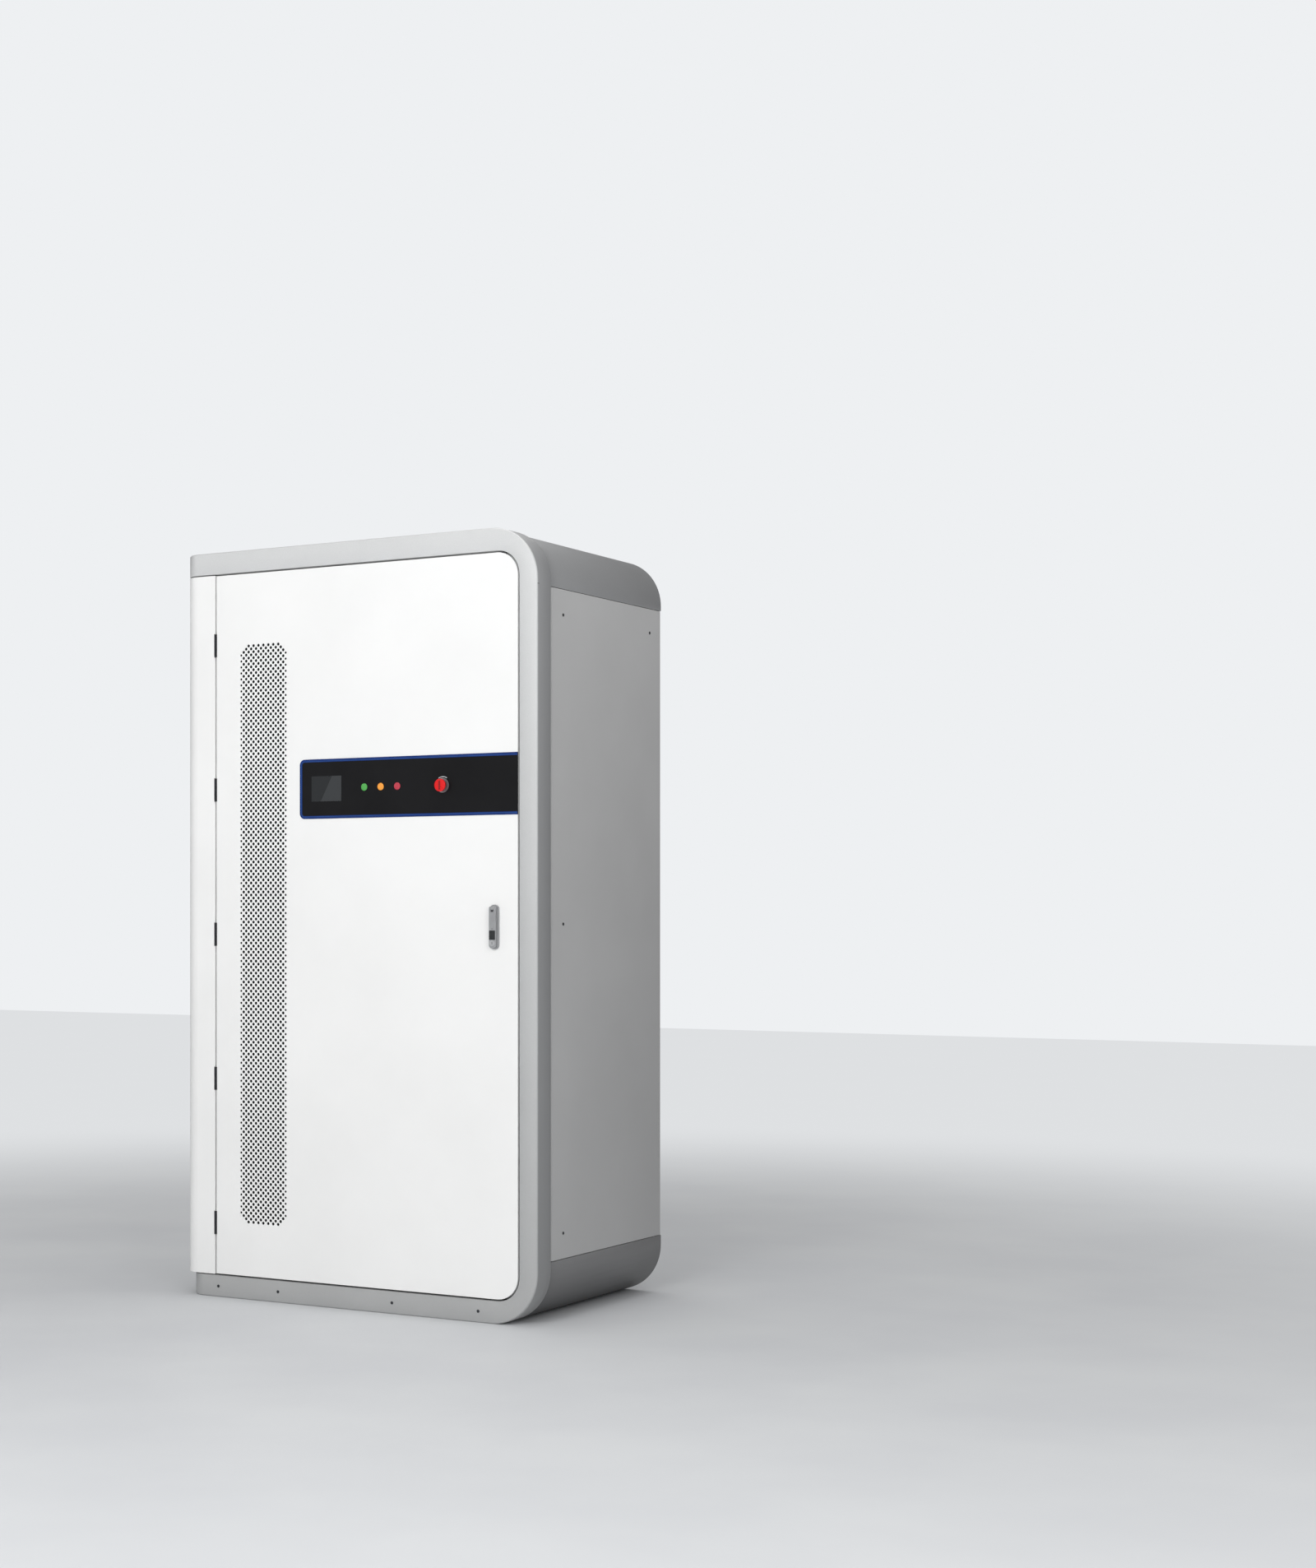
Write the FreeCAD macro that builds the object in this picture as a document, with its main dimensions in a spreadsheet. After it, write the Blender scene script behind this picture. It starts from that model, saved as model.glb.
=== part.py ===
import FreeCAD, Part
import math
import os
import re
import Sketcher

# Battery storage cabinet: a grey frame ring on the front, a white door with a punched vent,
# display strip and swing handle, and two columns of battery packs inside.
# Millimetres. +Z is up, the front faces -Y, and the origin is the centre of the floor anchors.

V = FreeCAD.Vector
doc = FreeCAD.newDocument("BatteryStorageUnit")
sizes = doc.addObject("Spreadsheet::Sheet", "Sizes")

dimensions = {
    # whole cabinet
    "cabinet_width": 1100,
    "cabinet_depth": 700,
    "cabinet_height": 2000,
    "sheet_metal": 2,
    "outer_corner": 135,
    "front_left_corner": 50,
    # front frame ring
    "frame_depth": 68.5,
    "frame_wall": 3,
    "frame_side_band": 51.5,
    "frame_top_band": 58.5,
    "frame_bottom_band": 58,
    "opening_corner": 64,
    "edge_break": 3,
    "plinth_inset": 20,
    "groove_width": 6,
    "groove_inset": 12,
    "lip_width": 18,
    "lip_setback": 45,
    # body behind the frame
    "body_inset": 5,
    "column_width": 107.5,
    "panel_joint": 3,
    "wrap_low_height": 155,
    "wrap_high_drop": 147,
    "skirt_flange": 24,
    "side_panel_depth": 17,
    "side_panel_roll": 12,
    "side_panel_gap": 1,
    "side_panel_break": 1.2,
    "screw_head": 4,
    "screw_rise": 1.2,
    "screw_margin": 65,
    "plinth_screw_end": 99.4,
    "plinth_screw_inner": 294.3,
    "plinth_screw_corner": 171.4,
    "plinth_screw_middle": 428.6,
    "rear_panel_flange": 8,
    "louvre_width": 140,
    "louvre_spacing": 180,
    "louvre_low": 260,
    "louvre_slot": 12,
    "louvre_pitch": 24,
    # base
    "floor_height": 55,
    "floor_sheet": 3,
    "floor_turn_up": 30,
    "base_member": 60,
    "base_wall": 4,
    "base_right_end": 150,
    "anchor_spacing_x": 600,
    "anchor_spacing_y": 360,
    "anchor_hole_radius": 7,
    "anchor_bar_width": 80,
    "anchor_bar_thickness": 6,
    "gland_pitch": 90,
    "gland_bore": 10,
    "gland_body": 16,
    "gland_rise": 40,
    "gland_plate_width": 260,
    "gland_plate_depth": 140,
    "gland_lap": 20,
    "gland_y": 60,
    # door
    "seam_gap": 5,
    "door_depth": 40,
    "door_edge_break": 2,
    "door_return": 20,
    "gasket_width": 12,
    "gasket_gap": 0.3,
    "hinge_setback": 2,
    "hinge_height": 61,
    "hinge_first": 199,
    "hinge_drop": 250,
    "hinge_barrel": 2,
    "hinge_pin": 1.1,
    "hinge_leaf": 2,
    "hinge_leaf_depth": 28,
    "hinge_play": 0.3,
    "notch_clearance": 1,
    "notch_width": 10,
    "notch_depth": 6.5,
    "running_fit": 0.05,
    # vent in the door
    "vent_left": 78.9,
    "vent_width": 151,
    "vent_low": 201,
    "vent_drop": 250,
    "vent_corner": 30,
    "vent_pitch": 80,
    "vent_hole": 19,
    "filter_thickness": 12,
    "filter_border": 9,
    # display strip
    "strip_left": 272.8,
    "strip_low": 1278.5,
    "strip_height": 156,
    "strip_corner": 15,
    "strip_thickness": 3,
    "screen_share": 0.0573,
    "screen_low": 1323.8,
    "screen_width": 93.4,
    "screen_height": 66,
    "lamp_share": 0.3073,
    "lamp_share_pitch": 0.0766,
    "lamp_height": 1358,
    "lamp_radius": 9.5,
    "lamp_depth": 3,
    "housing_border": 12,
    "housing_depth": 56,
    "housing_past_stop": 50,
    "stiffener_width": 24,
    "stiffener_gap": 6,
    "estop_share": 0.6682,
    "estop_height": 1356.5,
    "estop_head_radius": 16.5,
    "estop_head_depth": 11,
    "estop_travel": 3.5,
    "estop_stem": 7,
    "estop_collar_radius": 18.5,
    "estop_collar_depth": 2.5,
    # lock
    "lock_from_edge": 65,
    "lock_height": 1043.5,
    "handle_plate_width": 25,
    "handle_plate_low": 941,
    "handle_plate_high": 1053,
    "handle_plate_thickness": 6,
    "lever_width": 18,
    "lever_length": 100,
    "lever_thickness": 10,
    "lever_clearance": 0.3,
    "lever_slot": 8,
    "lever_pin": 1.5,
    "hub_radius": 8,
    "spindle_size": 8,
    "key_radius": 5,
    "key_height": 87,
    "button_height": 66.8,
    "button_size": 21,
    "button_width": 11.4,
    "button_travel": 2.5,
    "gear_module": 2.5,
    "gear_teeth": 10,
    "gear_width": 10,
    "gear_backlash": 0.5,
    "rod_setback": 20,
    "rod_width": 8,
    "rod_thickness": 8,
    "rod_tip_gap": 1.5,
    "rod_hole_depth": 8,
    "rod_clearance": 0.5,
    "guide_wall": 5,
    "guide_height": 18,
    "guide_step": 450,
    "guide_end": 92,
    "lock_case_wall": 6,
    "lock_case_height": 48,
    "key_proud": 0.6,
    "key_slot_width": 1.8,
    "key_slot_length": 6.4,
    "key_slot_depth": 4.6,
    "fork_gap": 3.5,
    # rack and packs
    "post_width": 36,
    "post_depth": 40,
    "post_wall": 3,
    "post_drop": 95,
    "post_notch": 16,
    "rack_left": 74,
    "middle_post": 40,
    "rack_allowance": 220,
    "pack_rise": 16,
    "above_packs": 758,
    "pack_rear_space": 75,
    "pack_front": 155,
    "pack_floor": 130,
    "pack_gap": 2,
    "rail_leg": 28,
    "handle_reach": 32,
    "handle_bar": 9,
    "handle_length": 110,
    "handle_width": 10,
    "handle_offset": 175,
    "face_border": 14,
    "face_depth": 5,
    "terminal_offset": 120,
    "terminal_size": 28,
    "terminal_rise": 62,
    "terminal_reach": 7,
    "link_width": 22,
    "link_thickness": 5,
    # converter, control box and breaker panel
    "converter_height": 380,
    "converter_depth": 400,
    "fin_border": 40,
    "fin_low": 60,
    "fin_slot": 12,
    "fin_pitch": 28,
    "fin_depth": 20,
    "control_height": 180,
    "control_depth": 360,
    "connector_size": 40,
    "connector_pitch": 70,
    "connector_rise": 60,
    "connector_reach": 14,
    "panel_setback": 60,
    "din_low": 150,
    "din_height": 35,
    "din_depth": 8,
    "breaker_width": 110,
    "breaker_height": 170,
    "breaker_depth": 72,
    "bridge_depth": 12,
    "toggle_width": 24,
    "toggle_well": 52,
    "toggle_pivot": 9,
    "toggle_gap": 4,
    "toggle_grip": 10,
    "toggle_reach": 18,
    "relay_spacing": 260,
    "relay_width": 80,
    "relay_height": 95,
    "relay_base": 40,
    "relay_head": 30,
    # fan
    "fan_drop": 230,
    "fan_frame": 220,
    "fan_depth": 60,
    "fan_duct": 102,
    "fan_rotor": 98,
    "fan_hub": 42,
    "fan_shaft": 5,
    "fan_arm": 6,
    "fan_chord": 40,
    "fan_blade": 2,
    "fan_pitch": 38,
    "guard_slot": 12,
    "guard_border": 4,
    "fan_blades": 7,
}
for row, (alias, value) in enumerate(dimensions.items(), 1):
    sizes.set(f"A{row}", alias)
    sizes.set(f"B{row}", str(value))
    sizes.setAlias(f"B{row}", alias)
doc.recompute()

parts = {}
cuts = []


def bound(text):
    """An expression with the sheet's name put before each alias."""
    def alias(word):
        return "Sizes." + word.group() if word.group() in dimensions else word.group()
    return re.sub(r"[a-z]\w*", alias, str(text))


def number(text):
    """What an expression comes to with the sheet's present values."""
    value = sizes.evalExpression(bound(text))
    return float(getattr(value, "Value", value))


# Outlines, drawn from expressions and held by constraints

def rect(x0, x1, y0, y1, radius=0):
    return [(x0, y0, radius), (x1, y0, radius), (x1, y1, radius), (x0, y1, radius)]


def disc(x, y, radius):
    return (x, y, radius)


def square(x, z, half):
    return rect(f"{x} - ({half})", f"{x} + ({half})", f"{z} - ({half})", f"{z} + ({half})")


class Outline:
    """Gathers a sketch's constraints, so that they are solved once, and binds the driving ones."""

    def __init__(self, made):
        self.made = made
        self.constraints = []
        self.bindings = []

    def fix(self, *terms):
        self.constraints.append(Sketcher.Constraint(*terms))

    def hold(self, text, *terms):
        self.bindings.append((len(self.constraints), text))
        self.fix(*terms, number(text))

    def close(self):
        self.made.addConstraint(self.constraints)
        for index, text in self.bindings:
            self.made.setExpression(f"Constraints[{index}]", bound(text))

    def disc(self, x, y, radius):
        circle = Part.Circle(V(number(x), number(y), 0), V(0, 0, 1), number(radius))
        ring = self.made.addGeometry(circle, False)
        self.hold(x, "DistanceX", -1, 1, ring, 3)
        self.hold(y, "DistanceY", -1, 1, ring, 3)
        self.hold(radius, "Radius", ring)

    def loop(self, corners):
        """A closed loop of level and upright edges; a corner is (x, y) or (x, y, radius)."""
        count = len(corners)
        spots = [V(number(corner[0]), number(corner[1]), 0) for corner in corners]
        radii = [number(corner[2]) if len(corner) > 2 else 0 for corner in corners]
        ways = [(spots[(i + 1) % count] - spots[i]).normalize() for i in range(count)]
        edges = []
        for i in range(count):
            following = (i + 1) % count
            start = spots[i] + ways[i] * radii[i]
            end = spots[following] - ways[i] * radii[following]
            edge = self.made.addGeometry(Part.LineSegment(start, end), False)
            edges.append(edge)
            if abs(ways[i].x) > abs(ways[i].y):
                self.fix("Horizontal", edge)
                self.hold(corners[i][1], "DistanceY", -1, 1, edge, 1)
            else:
                self.fix("Vertical", edge)
                self.hold(corners[i][0], "DistanceX", -1, 1, edge, 1)
        for i in range(count):
            before, after, radius = edges[i - 1], edges[i], radii[i]
            if radius == 0:
                self.fix("Coincident", before, 2, after, 1)
                continue
            back, ahead = ways[i - 1], ways[i]
            centre = spots[i] - back * radius + ahead * radius
            first = math.atan2(-ahead.y, -ahead.x)
            last = math.atan2(back.y, back.x)
            left_turn = back.x * ahead.y - back.y * ahead.x > 0
            if not left_turn:
                first, last = last, first
            if last < first:
                last += 2 * math.pi
            circle = Part.Circle(centre, V(0, 0, 1), radius)
            arc = self.made.addGeometry(Part.ArcOfCircle(circle, first, last), False)
            near_end, far_end = (1, 2) if left_turn else (2, 1)
            self.fix("Tangent", before, 2, arc, near_end)
            self.fix("Tangent", arc, far_end, after, 1)
            self.hold(corners[i][2], "Radius", arc)


# Bodies and their features

roles = {"XY": ("XY_Plane", "+"), "XZ": ("XZ_Plane", "-"), "YZ": ("YZ_Plane", "+")}


def body(name):
    made = doc.addObject("PartDesign::Body", name)
    return keep(name, made)


def keep(name, made):
    made.Label = name
    parts[name] = made
    return made


def sketch(owner, name, plane, outlines, level, across="0", along="0", turn="0"):
    """A sketch on one of the body's origin planes, moved to level, across and along."""
    made = owner.newObject("Sketcher::SketchObject", name)
    role, sign = roles[plane]
    support = next(o for o in owner.Origin.OriginFeatures if o.Role == role)
    made.AttachmentSupport = [(support, "")]
    made.MapMode = "FlatFace"
    made.AttachmentOffset = FreeCAD.Placement(V(), FreeCAD.Rotation(V(0, 0, 1), number(turn)))
    if turn != "0":
        made.setExpression("AttachmentOffset.Rotation.Angle", bound(turn))
    for axis, text in (("x", across), ("y", along), ("z", f"{sign}1 * ({level})")):
        made.setExpression(f"AttachmentOffset.Base.{axis}", bound(text))
    drawing = Outline(made)
    for outline in outlines:
        if isinstance(outline, tuple):
            drawing.disc(*outline)
        else:
            drawing.loop(outline)
    drawing.close()
    return made


def pad(owner, name, plane, outlines, low, high, across="0", along="0"):
    """Material between two levels along the plane's normal."""
    profile = sketch(owner, name + "Sketch", plane, outlines, low, across, along)
    made = owner.newObject("PartDesign::Pad", name)
    made.Profile = profile
    made.setExpression("Length", bound(f"({high}) - ({low})"))
    made.Reversed = plane == "XZ"
    return made


def pocket(owner, name, plane, outlines, low, high):
    """Material taken away between two levels along the plane's normal."""
    before = owner.Tip
    profile = sketch(owner, name + "Sketch", plane, outlines, low)
    made = owner.newObject("PartDesign::Pocket", name)
    made.Profile = profile
    made.setExpression("Length", bound(f"({high}) - ({low})"))
    made.Reversed = plane != "XZ"
    cuts.append((made, before))
    return made


def turned(owner, name, plane, outlines, level, across, along="0"):
    """A ring or shaft: outlines of (radius, height) turned about the sketch's upright axis."""
    profile = sketch(owner, name + "Sketch", plane, outlines, level, across, along)
    made = owner.newObject("PartDesign::Revolution", name)
    made.Profile = profile
    made.ReferenceAxis = (profile, ["V_Axis"])
    made.Angle = 360
    return made


def dressed(owner, name, kind, size, test):
    """A Fillet or Chamfer on the edges of the last feature whose middle point passes the test."""
    base = owner.Tip
    owner.recompute(True)
    names = []
    for index, edge in enumerate(base.Shape.Edges, 1):
        if test(edge.valueAt((edge.FirstParameter + edge.LastParameter) / 2), edge):
            names.append(f"Edge{index}")
    made = owner.newObject(f"PartDesign::{kind}", name)
    made.Base = (base, names)
    made.setExpression("Radius" if kind == "Fillet" else "Size", bound(size))
    return made


# Plain solids

def block(name, x, y, z):
    made = doc.addObject("Part::Box", name)
    for size, axis, (low, high) in (("Length", "x", x), ("Width", "y", y), ("Height", "z", z)):
        made.setExpression(size, bound(f"({high}) - ({low})"))
        made.setExpression(f"Placement.Base.{axis}", bound(low))
    return made


def shaft(name, way, radius, x, y, z):
    """A cylinder along X, Y or Z; that coordinate is a (low, high) pair."""
    made = doc.addObject("Part::Cylinder", name)
    ways = {"X": V(1, 0, 0), "Y": V(0, 1, 0), "Z": V(0, 0, 1)}
    made.Placement = FreeCAD.Placement(V(), FreeCAD.Rotation(V(0, 0, 1), ways[way]))
    made.setExpression("Radius", bound(radius))
    for axis, place in zip("xyz", (x, y, z)):
        if isinstance(place, tuple):
            made.setExpression("Height", bound(f"({place[1]}) - ({place[0]})"))
            place = place[0]
        made.setExpression(f"Placement.Base.{axis}", bound(place))
    return made


def group(name, pieces):
    made = doc.addObject("Part::Compound", name)
    made.Links = pieces
    return made


def joined(name, pieces):
    made = doc.addObject("Part::MultiFuse", name)
    made.Shapes = pieces
    return made


def without(name, base, tool):
    made = doc.addObject("Part::Cut", name)
    made.Base = base
    made.Tool = tool
    cuts.append((made, base))
    return made


def near(a, b):
    return abs(a - b) < 1e-4


# Places worked out from the sizes

left = "(-cabinet_width / 2)"
right = "(cabinet_width / 2)"
front = "(-cabinet_depth / 2)"
rear = "(cabinet_depth / 2)"
top = "cabinet_height"
inner_right = f"({right} - frame_side_band)"
inner_top = "(cabinet_height - frame_top_band)"
inner_low = "frame_bottom_band"
plinth_left = f"({left} + plinth_inset)"
frame_back = f"({front} + frame_depth)"
lip_front = f"({front} + lip_setback)"
lip_back = f"({lip_front} + sheet_metal)"
body_front = f"({frame_back} + groove_width)"
body_right = f"({right} - body_inset)"
body_top = "(cabinet_height - body_inset)"
body_corner = "(outer_corner - body_inset)"
wrap_high = "(cabinet_height - wrap_high_drop)"
column_edge = f"({left} + column_width)"
hinge_x = f"({column_edge} + seam_gap / 2)"
hinge_y = f"({front} + hinge_setback)"
door_left = f"({column_edge} + seam_gap)"
door_right = f"({inner_right} - seam_gap)"
door_low = f"({inner_low} + seam_gap)"
door_top = f"({inner_top} - seam_gap)"
door_corner = "(opening_corner - seam_gap)"
door_back = f"({front} + door_depth)"
skin_back = f"({front} + sheet_metal)"
floor_top = "(floor_height + floor_sheet)"
base_right = f"({right} - base_right_end)"
lock_x = f"({door_right} - lock_from_edge)"
pack_width = "((cabinet_width - rack_allowance) / 2)"
pack_pitch = "((cabinet_height - pack_floor - above_packs) / 4)"
pack_height = f"({pack_pitch} - pack_rise)"
fan_height = "(cabinet_height - fan_drop)"
post_height = "(cabinet_height - post_drop)"
pitch_radius = "(gear_module * gear_teeth / 2)"


# Front frame: one grey ring round the door, open on the hinge side

frame = body("front_frame")
pad(frame, "Ring", "XZ", [[
    (left, top), (right, top, "outer_corner"), (right, "0", "outer_corner"), (plinth_left, "0"),
    (plinth_left, inner_low), (inner_right, inner_low, "opening_corner"),
    (inner_right, inner_top, "opening_corner"), (left, inner_top)]], front, frame_back)
dressed(frame, "LeftCorners", "Fillet", "front_left_corner", lambda p, edge: (
    near(p.y, number(front)) and p.x < number(plinth_left) + 1 and edge.Length < number("frame_top_band") + 1
    and near(edge.Vertexes[0].X, edge.Vertexes[1].X)))
dressed(frame, "EdgeBreak", "Chamfer", "edge_break", lambda p, edge: (
    near(p.y, number(front)) and p.z > number("outer_corner") / 2
    and (near(p.z, number(top)) or p.x > number(inner_right) + 1)))
channel_left = f"({left} + front_left_corner + frame_wall)"
plinth_end = f"({plinth_left} + front_left_corner + frame_wall)"
pocket(frame, "Channel", "XZ", [[
    (channel_left, f"{top} - frame_wall"), (f"{right} - frame_wall", f"{top} - frame_wall", "outer_corner - frame_wall"),
    (f"{right} - frame_wall", "frame_wall", "outer_corner - frame_wall"), (plinth_end, "frame_wall"),
    (plinth_end, f"{inner_low} - frame_wall"),
    (f"{inner_right} + frame_wall", f"{inner_low} - frame_wall", "opening_corner + frame_wall"),
    (f"{inner_right} + frame_wall", f"{inner_top} + frame_wall", "opening_corner + frame_wall"),
    (channel_left, f"{inner_top} + frame_wall")]], f"{front} + frame_wall", frame_back)
lip_left = f"({column_edge} + lip_width)"
pad(frame, "SealingLip", "XZ", [[
    (lip_left, f"{inner_top} + frame_wall / 2"),
    (f"{inner_right} + frame_wall / 2", f"{inner_top} + frame_wall / 2", "opening_corner + frame_wall / 2"),
    (f"{inner_right} + frame_wall / 2", f"{inner_low} - frame_wall / 2", "opening_corner + frame_wall / 2"),
    (lip_left, f"{inner_low} - frame_wall / 2"), (lip_left, f"{inner_low} + lip_width"),
    (f"{inner_right} - lip_width", f"{inner_low} + lip_width", "opening_corner - lip_width"),
    (f"{inner_right} - lip_width", f"{inner_top} - lip_width", "opening_corner - lip_width"),
    (lip_left, f"{inner_top} - lip_width")]], lip_front, lip_back)

# Spacer: the dark strip set back in the groove between the ring and the body

spacer = body("frame_spacer")
pad(spacer, "Strip", "XZ", [[
    (f"{left} + groove_inset", f"{top} - groove_inset"),
    (f"{right} - groove_inset", f"{top} - groove_inset", "outer_corner - groove_inset"),
    (f"{right} - groove_inset", "groove_inset", "outer_corner - groove_inset"),
    (f"{plinth_left} + groove_inset", "groove_inset"),
    (f"{plinth_left} + groove_inset", inner_low), (inner_right, inner_low, "opening_corner"),
    (inner_right, inner_top, "opening_corner"), (f"{left} + groove_inset", inner_top)]], frame_back, body_front)

# White column on the hinge side, bent round the corner into the left side panel

fold = "(sheet_metal + 1)"
column = body("left_wrap_panel")
panel_z = (f"{inner_low} + panel_joint", f"{inner_top} - panel_joint")
pad(column, "BentSheet", "XY", [[
    (column_edge, front, fold), (left, front, "front_left_corner"), (left, rear, fold),
    (f"{left} + skirt_flange", rear), (f"{left} + skirt_flange", f"{rear} - sheet_metal"),
    (f"{left} + sheet_metal", f"{rear} - sheet_metal"),
    (f"{left} + sheet_metal", f"{front} + sheet_metal", "front_left_corner - sheet_metal"),
    (f"{column_edge} - sheet_metal", f"{front} + sheet_metal"), (f"{column_edge} - sheet_metal", lip_back),
    (lip_left, lip_back), (lip_left, lip_front),
    (column_edge, lip_front)]], *panel_z)
hinge_pitch = "((cabinet_height - hinge_first - hinge_drop) / 4)"
hinge_heights = [f"(hinge_first + {index} * {hinge_pitch})" for index in range(5)]
notch_half = "hinge_height / 2 + notch_clearance"
notch_back = f"{front} + notch_depth"
pocket(column, "HingeNotches", "XZ", [rect(
    f"{hinge_x} - notch_width / 2", f"{column_edge} + 1", f"{z} - ({notch_half})", f"{z} + {notch_half}")
    for z in hinge_heights], f"{front} - 1", notch_back)

# Top cover and lower wrap: the body's bent sheets, round on the right

cover = body("top_cover")
pad(cover, "BentSheet", "XZ", [[
    (left, inner_top), (left, body_top, "sheet_metal * 4"), (body_right, body_top, body_corner),
    (body_right, wrap_high), (f"{body_right} - sheet_metal", wrap_high),
    (f"{body_right} - sheet_metal", f"{body_top} - sheet_metal", f"{body_corner} - sheet_metal"),
    (f"{left} + sheet_metal", f"{body_top} - sheet_metal", "sheet_metal * 3"),
    (f"{left} + sheet_metal", inner_top)]], body_front, rear)
pad(cover, "FrontHem", "XZ", [rect(
    f"{left} + sheet_metal * 4", f"{body_right} - {body_corner}", inner_top, f"{body_top} - sheet_metal")],
    body_front, f"{body_front} + sheet_metal")
pad(cover, "RearHem", "XZ", [[
    (f"{left} + sheet_metal", inner_top),
    (f"{left} + sheet_metal", f"{body_top} - sheet_metal", "sheet_metal * 3"),
    (f"{body_right} - sheet_metal", f"{body_top} - sheet_metal", f"{body_corner} - sheet_metal"),
    (f"{body_right} - sheet_metal", wrap_high), (f"{body_right} - side_panel_depth", wrap_high),
    (f"{body_right} - side_panel_depth", inner_top, "opening_corner")]], f"{rear} - sheet_metal", rear)

wrap = body("base_wrap")
pad(wrap, "BentSheet", "XZ", [[
    (base_right, "0"), (body_right, "0", body_corner), (body_right, "wrap_low_height"),
    (f"{body_right} - sheet_metal", "wrap_low_height"),
    (f"{body_right} - sheet_metal", "sheet_metal", f"{body_corner} - sheet_metal"),
    (base_right, "sheet_metal")]], body_front, rear)
pad(wrap, "RearSkirt", "XZ", [[
    (plinth_left, "0"), (body_right, "0", body_corner), (body_right, "wrap_low_height"),
    (f"{body_right} - skirt_flange", "wrap_low_height"), (f"{body_right} - skirt_flange", "floor_height"),
    (plinth_left, "floor_height")]], f"{rear} - sheet_metal", rear)
pad(wrap, "LeftSkirt", "XZ", [rect(plinth_left, f"{plinth_left} + sheet_metal", "0", "floor_height")],
    body_front, rear)

# Base frame: welded channels with two anchor bars across the floor

base = body("base_frame")
base_x = (f"{plinth_left} + sheet_metal", base_right)
base_y = (body_front, f"{rear} - sheet_metal")
pad(base, "Members", "XY", [rect(*base_x, *base_y)], "0", "floor_height")
pocket(base, "Middle", "XY", [rect(
    f"{base_x[0]} + base_member", f"{base_x[1]} - base_member",
    f"{base_y[0]} + base_member", f"{base_y[1]} - base_member")], "0", "floor_height")
pocket(base, "ChannelHollow", "XY", [rect(
    f"{base_x[0]} + base_wall", f"{base_x[1]} - base_wall",
    f"{base_y[0]} + base_wall", f"{base_y[1]} - base_wall")], "base_wall", "floor_height - base_wall")
pad(base, "AnchorBars", "XY", [rect(
    f"{side} * anchor_spacing_x / 2 - anchor_bar_width / 2",
    f"{side} * anchor_spacing_x / 2 + anchor_bar_width / 2",
    f"{base_y[0]} + base_member / 2", f"{base_y[1]} - base_member / 2") for side in (-1, 1)],
    "0", "anchor_bar_thickness")
pocket(base, "AnchorHoles", "XY", [disc(
    f"{sx} * anchor_spacing_x / 2", f"{sy} * anchor_spacing_y / 2", "anchor_hole_radius")
    for sx in (-1, 1) for sy in (-1, 1)], "0", "anchor_bar_thickness")

# Floor plate, and a gland plate over its opening

floor = body("floor_plate")
floor_x = (f"{left} + sheet_metal", f"{body_right} - skirt_flange - post_width / 2")
pad(floor, "Plate", "XY", [rect(*floor_x, body_front, f"{rear} - sheet_metal")], "floor_height", floor_top)
pad(floor, "TurnUp", "XY", [rect(floor_x[0], f"{floor_x[0]} + sheet_metal", body_front, f"{rear} - sheet_metal")],
    "floor_height", "floor_height + floor_turn_up")
gland_places = [f"{side} * gland_pitch / 2" for side in (-1, 1)]
pocket(floor, "GlandOpening", "XY", [rect(
    "-gland_plate_width / 2 + gland_lap", "gland_plate_width / 2 - gland_lap",
    "gland_y - gland_plate_depth / 2 + gland_lap", "gland_y + gland_plate_depth / 2 - gland_lap")],
    "floor_height", floor_top)

glands = body("cable_glands")
gland_bores = [disc(x, "gland_y", "gland_bore") for x in gland_places]
pad(glands, "Plate", "XY", [rect(
    "-gland_plate_width / 2", "gland_plate_width / 2", "gland_y - gland_plate_depth / 2",
    "gland_y + gland_plate_depth / 2")] + gland_bores, floor_top, f"{floor_top} + floor_sheet")
pad(glands, "Tubes", "XY", [disc(x, "gland_y", "gland_body") for x in gland_places] + gland_bores,
    f"{floor_top} + floor_sheet", f"{floor_top} + gland_rise")

# Right side panel: a lift-off pan with a wide roll on its front edge

side = body("right_side_panel")
side_y = (f"{body_front} + panel_joint", f"{rear} - panel_joint - 1")
side_z = ("wrap_low_height + side_panel_gap", f"{wrap_high} - side_panel_gap")
side_x = f"{body_right} - side_panel_depth"
pad(side, "Pan", "XY", [[(side_x, side_y[0]), (body_right, side_y[0], "side_panel_roll"), (body_right, side_y[1]),
                         (side_x, side_y[1])]], *side_z)
dressed(side, "SoftEdges", "Chamfer", "side_panel_break", lambda p, edge: (
    near(p.x, number(body_right)) and not near(p.y, number(f"{side_y[0]} + side_panel_roll"))))
pocket(side, "Inside", "XY", [[
    (side_x, f"{side_y[0]} + sheet_metal"),
    (f"{body_right} - sheet_metal", f"{side_y[0]} + sheet_metal", "side_panel_roll - sheet_metal"),
    (f"{body_right} - sheet_metal", f"{side_y[1]} - sheet_metal"), (side_x, f"{side_y[1]} - sheet_metal")]],
    f"{side_z[0]} + sheet_metal", f"{side_z[1]} - sheet_metal")

# Rear panel: a tray with fan openings and a low louvre field

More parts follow.
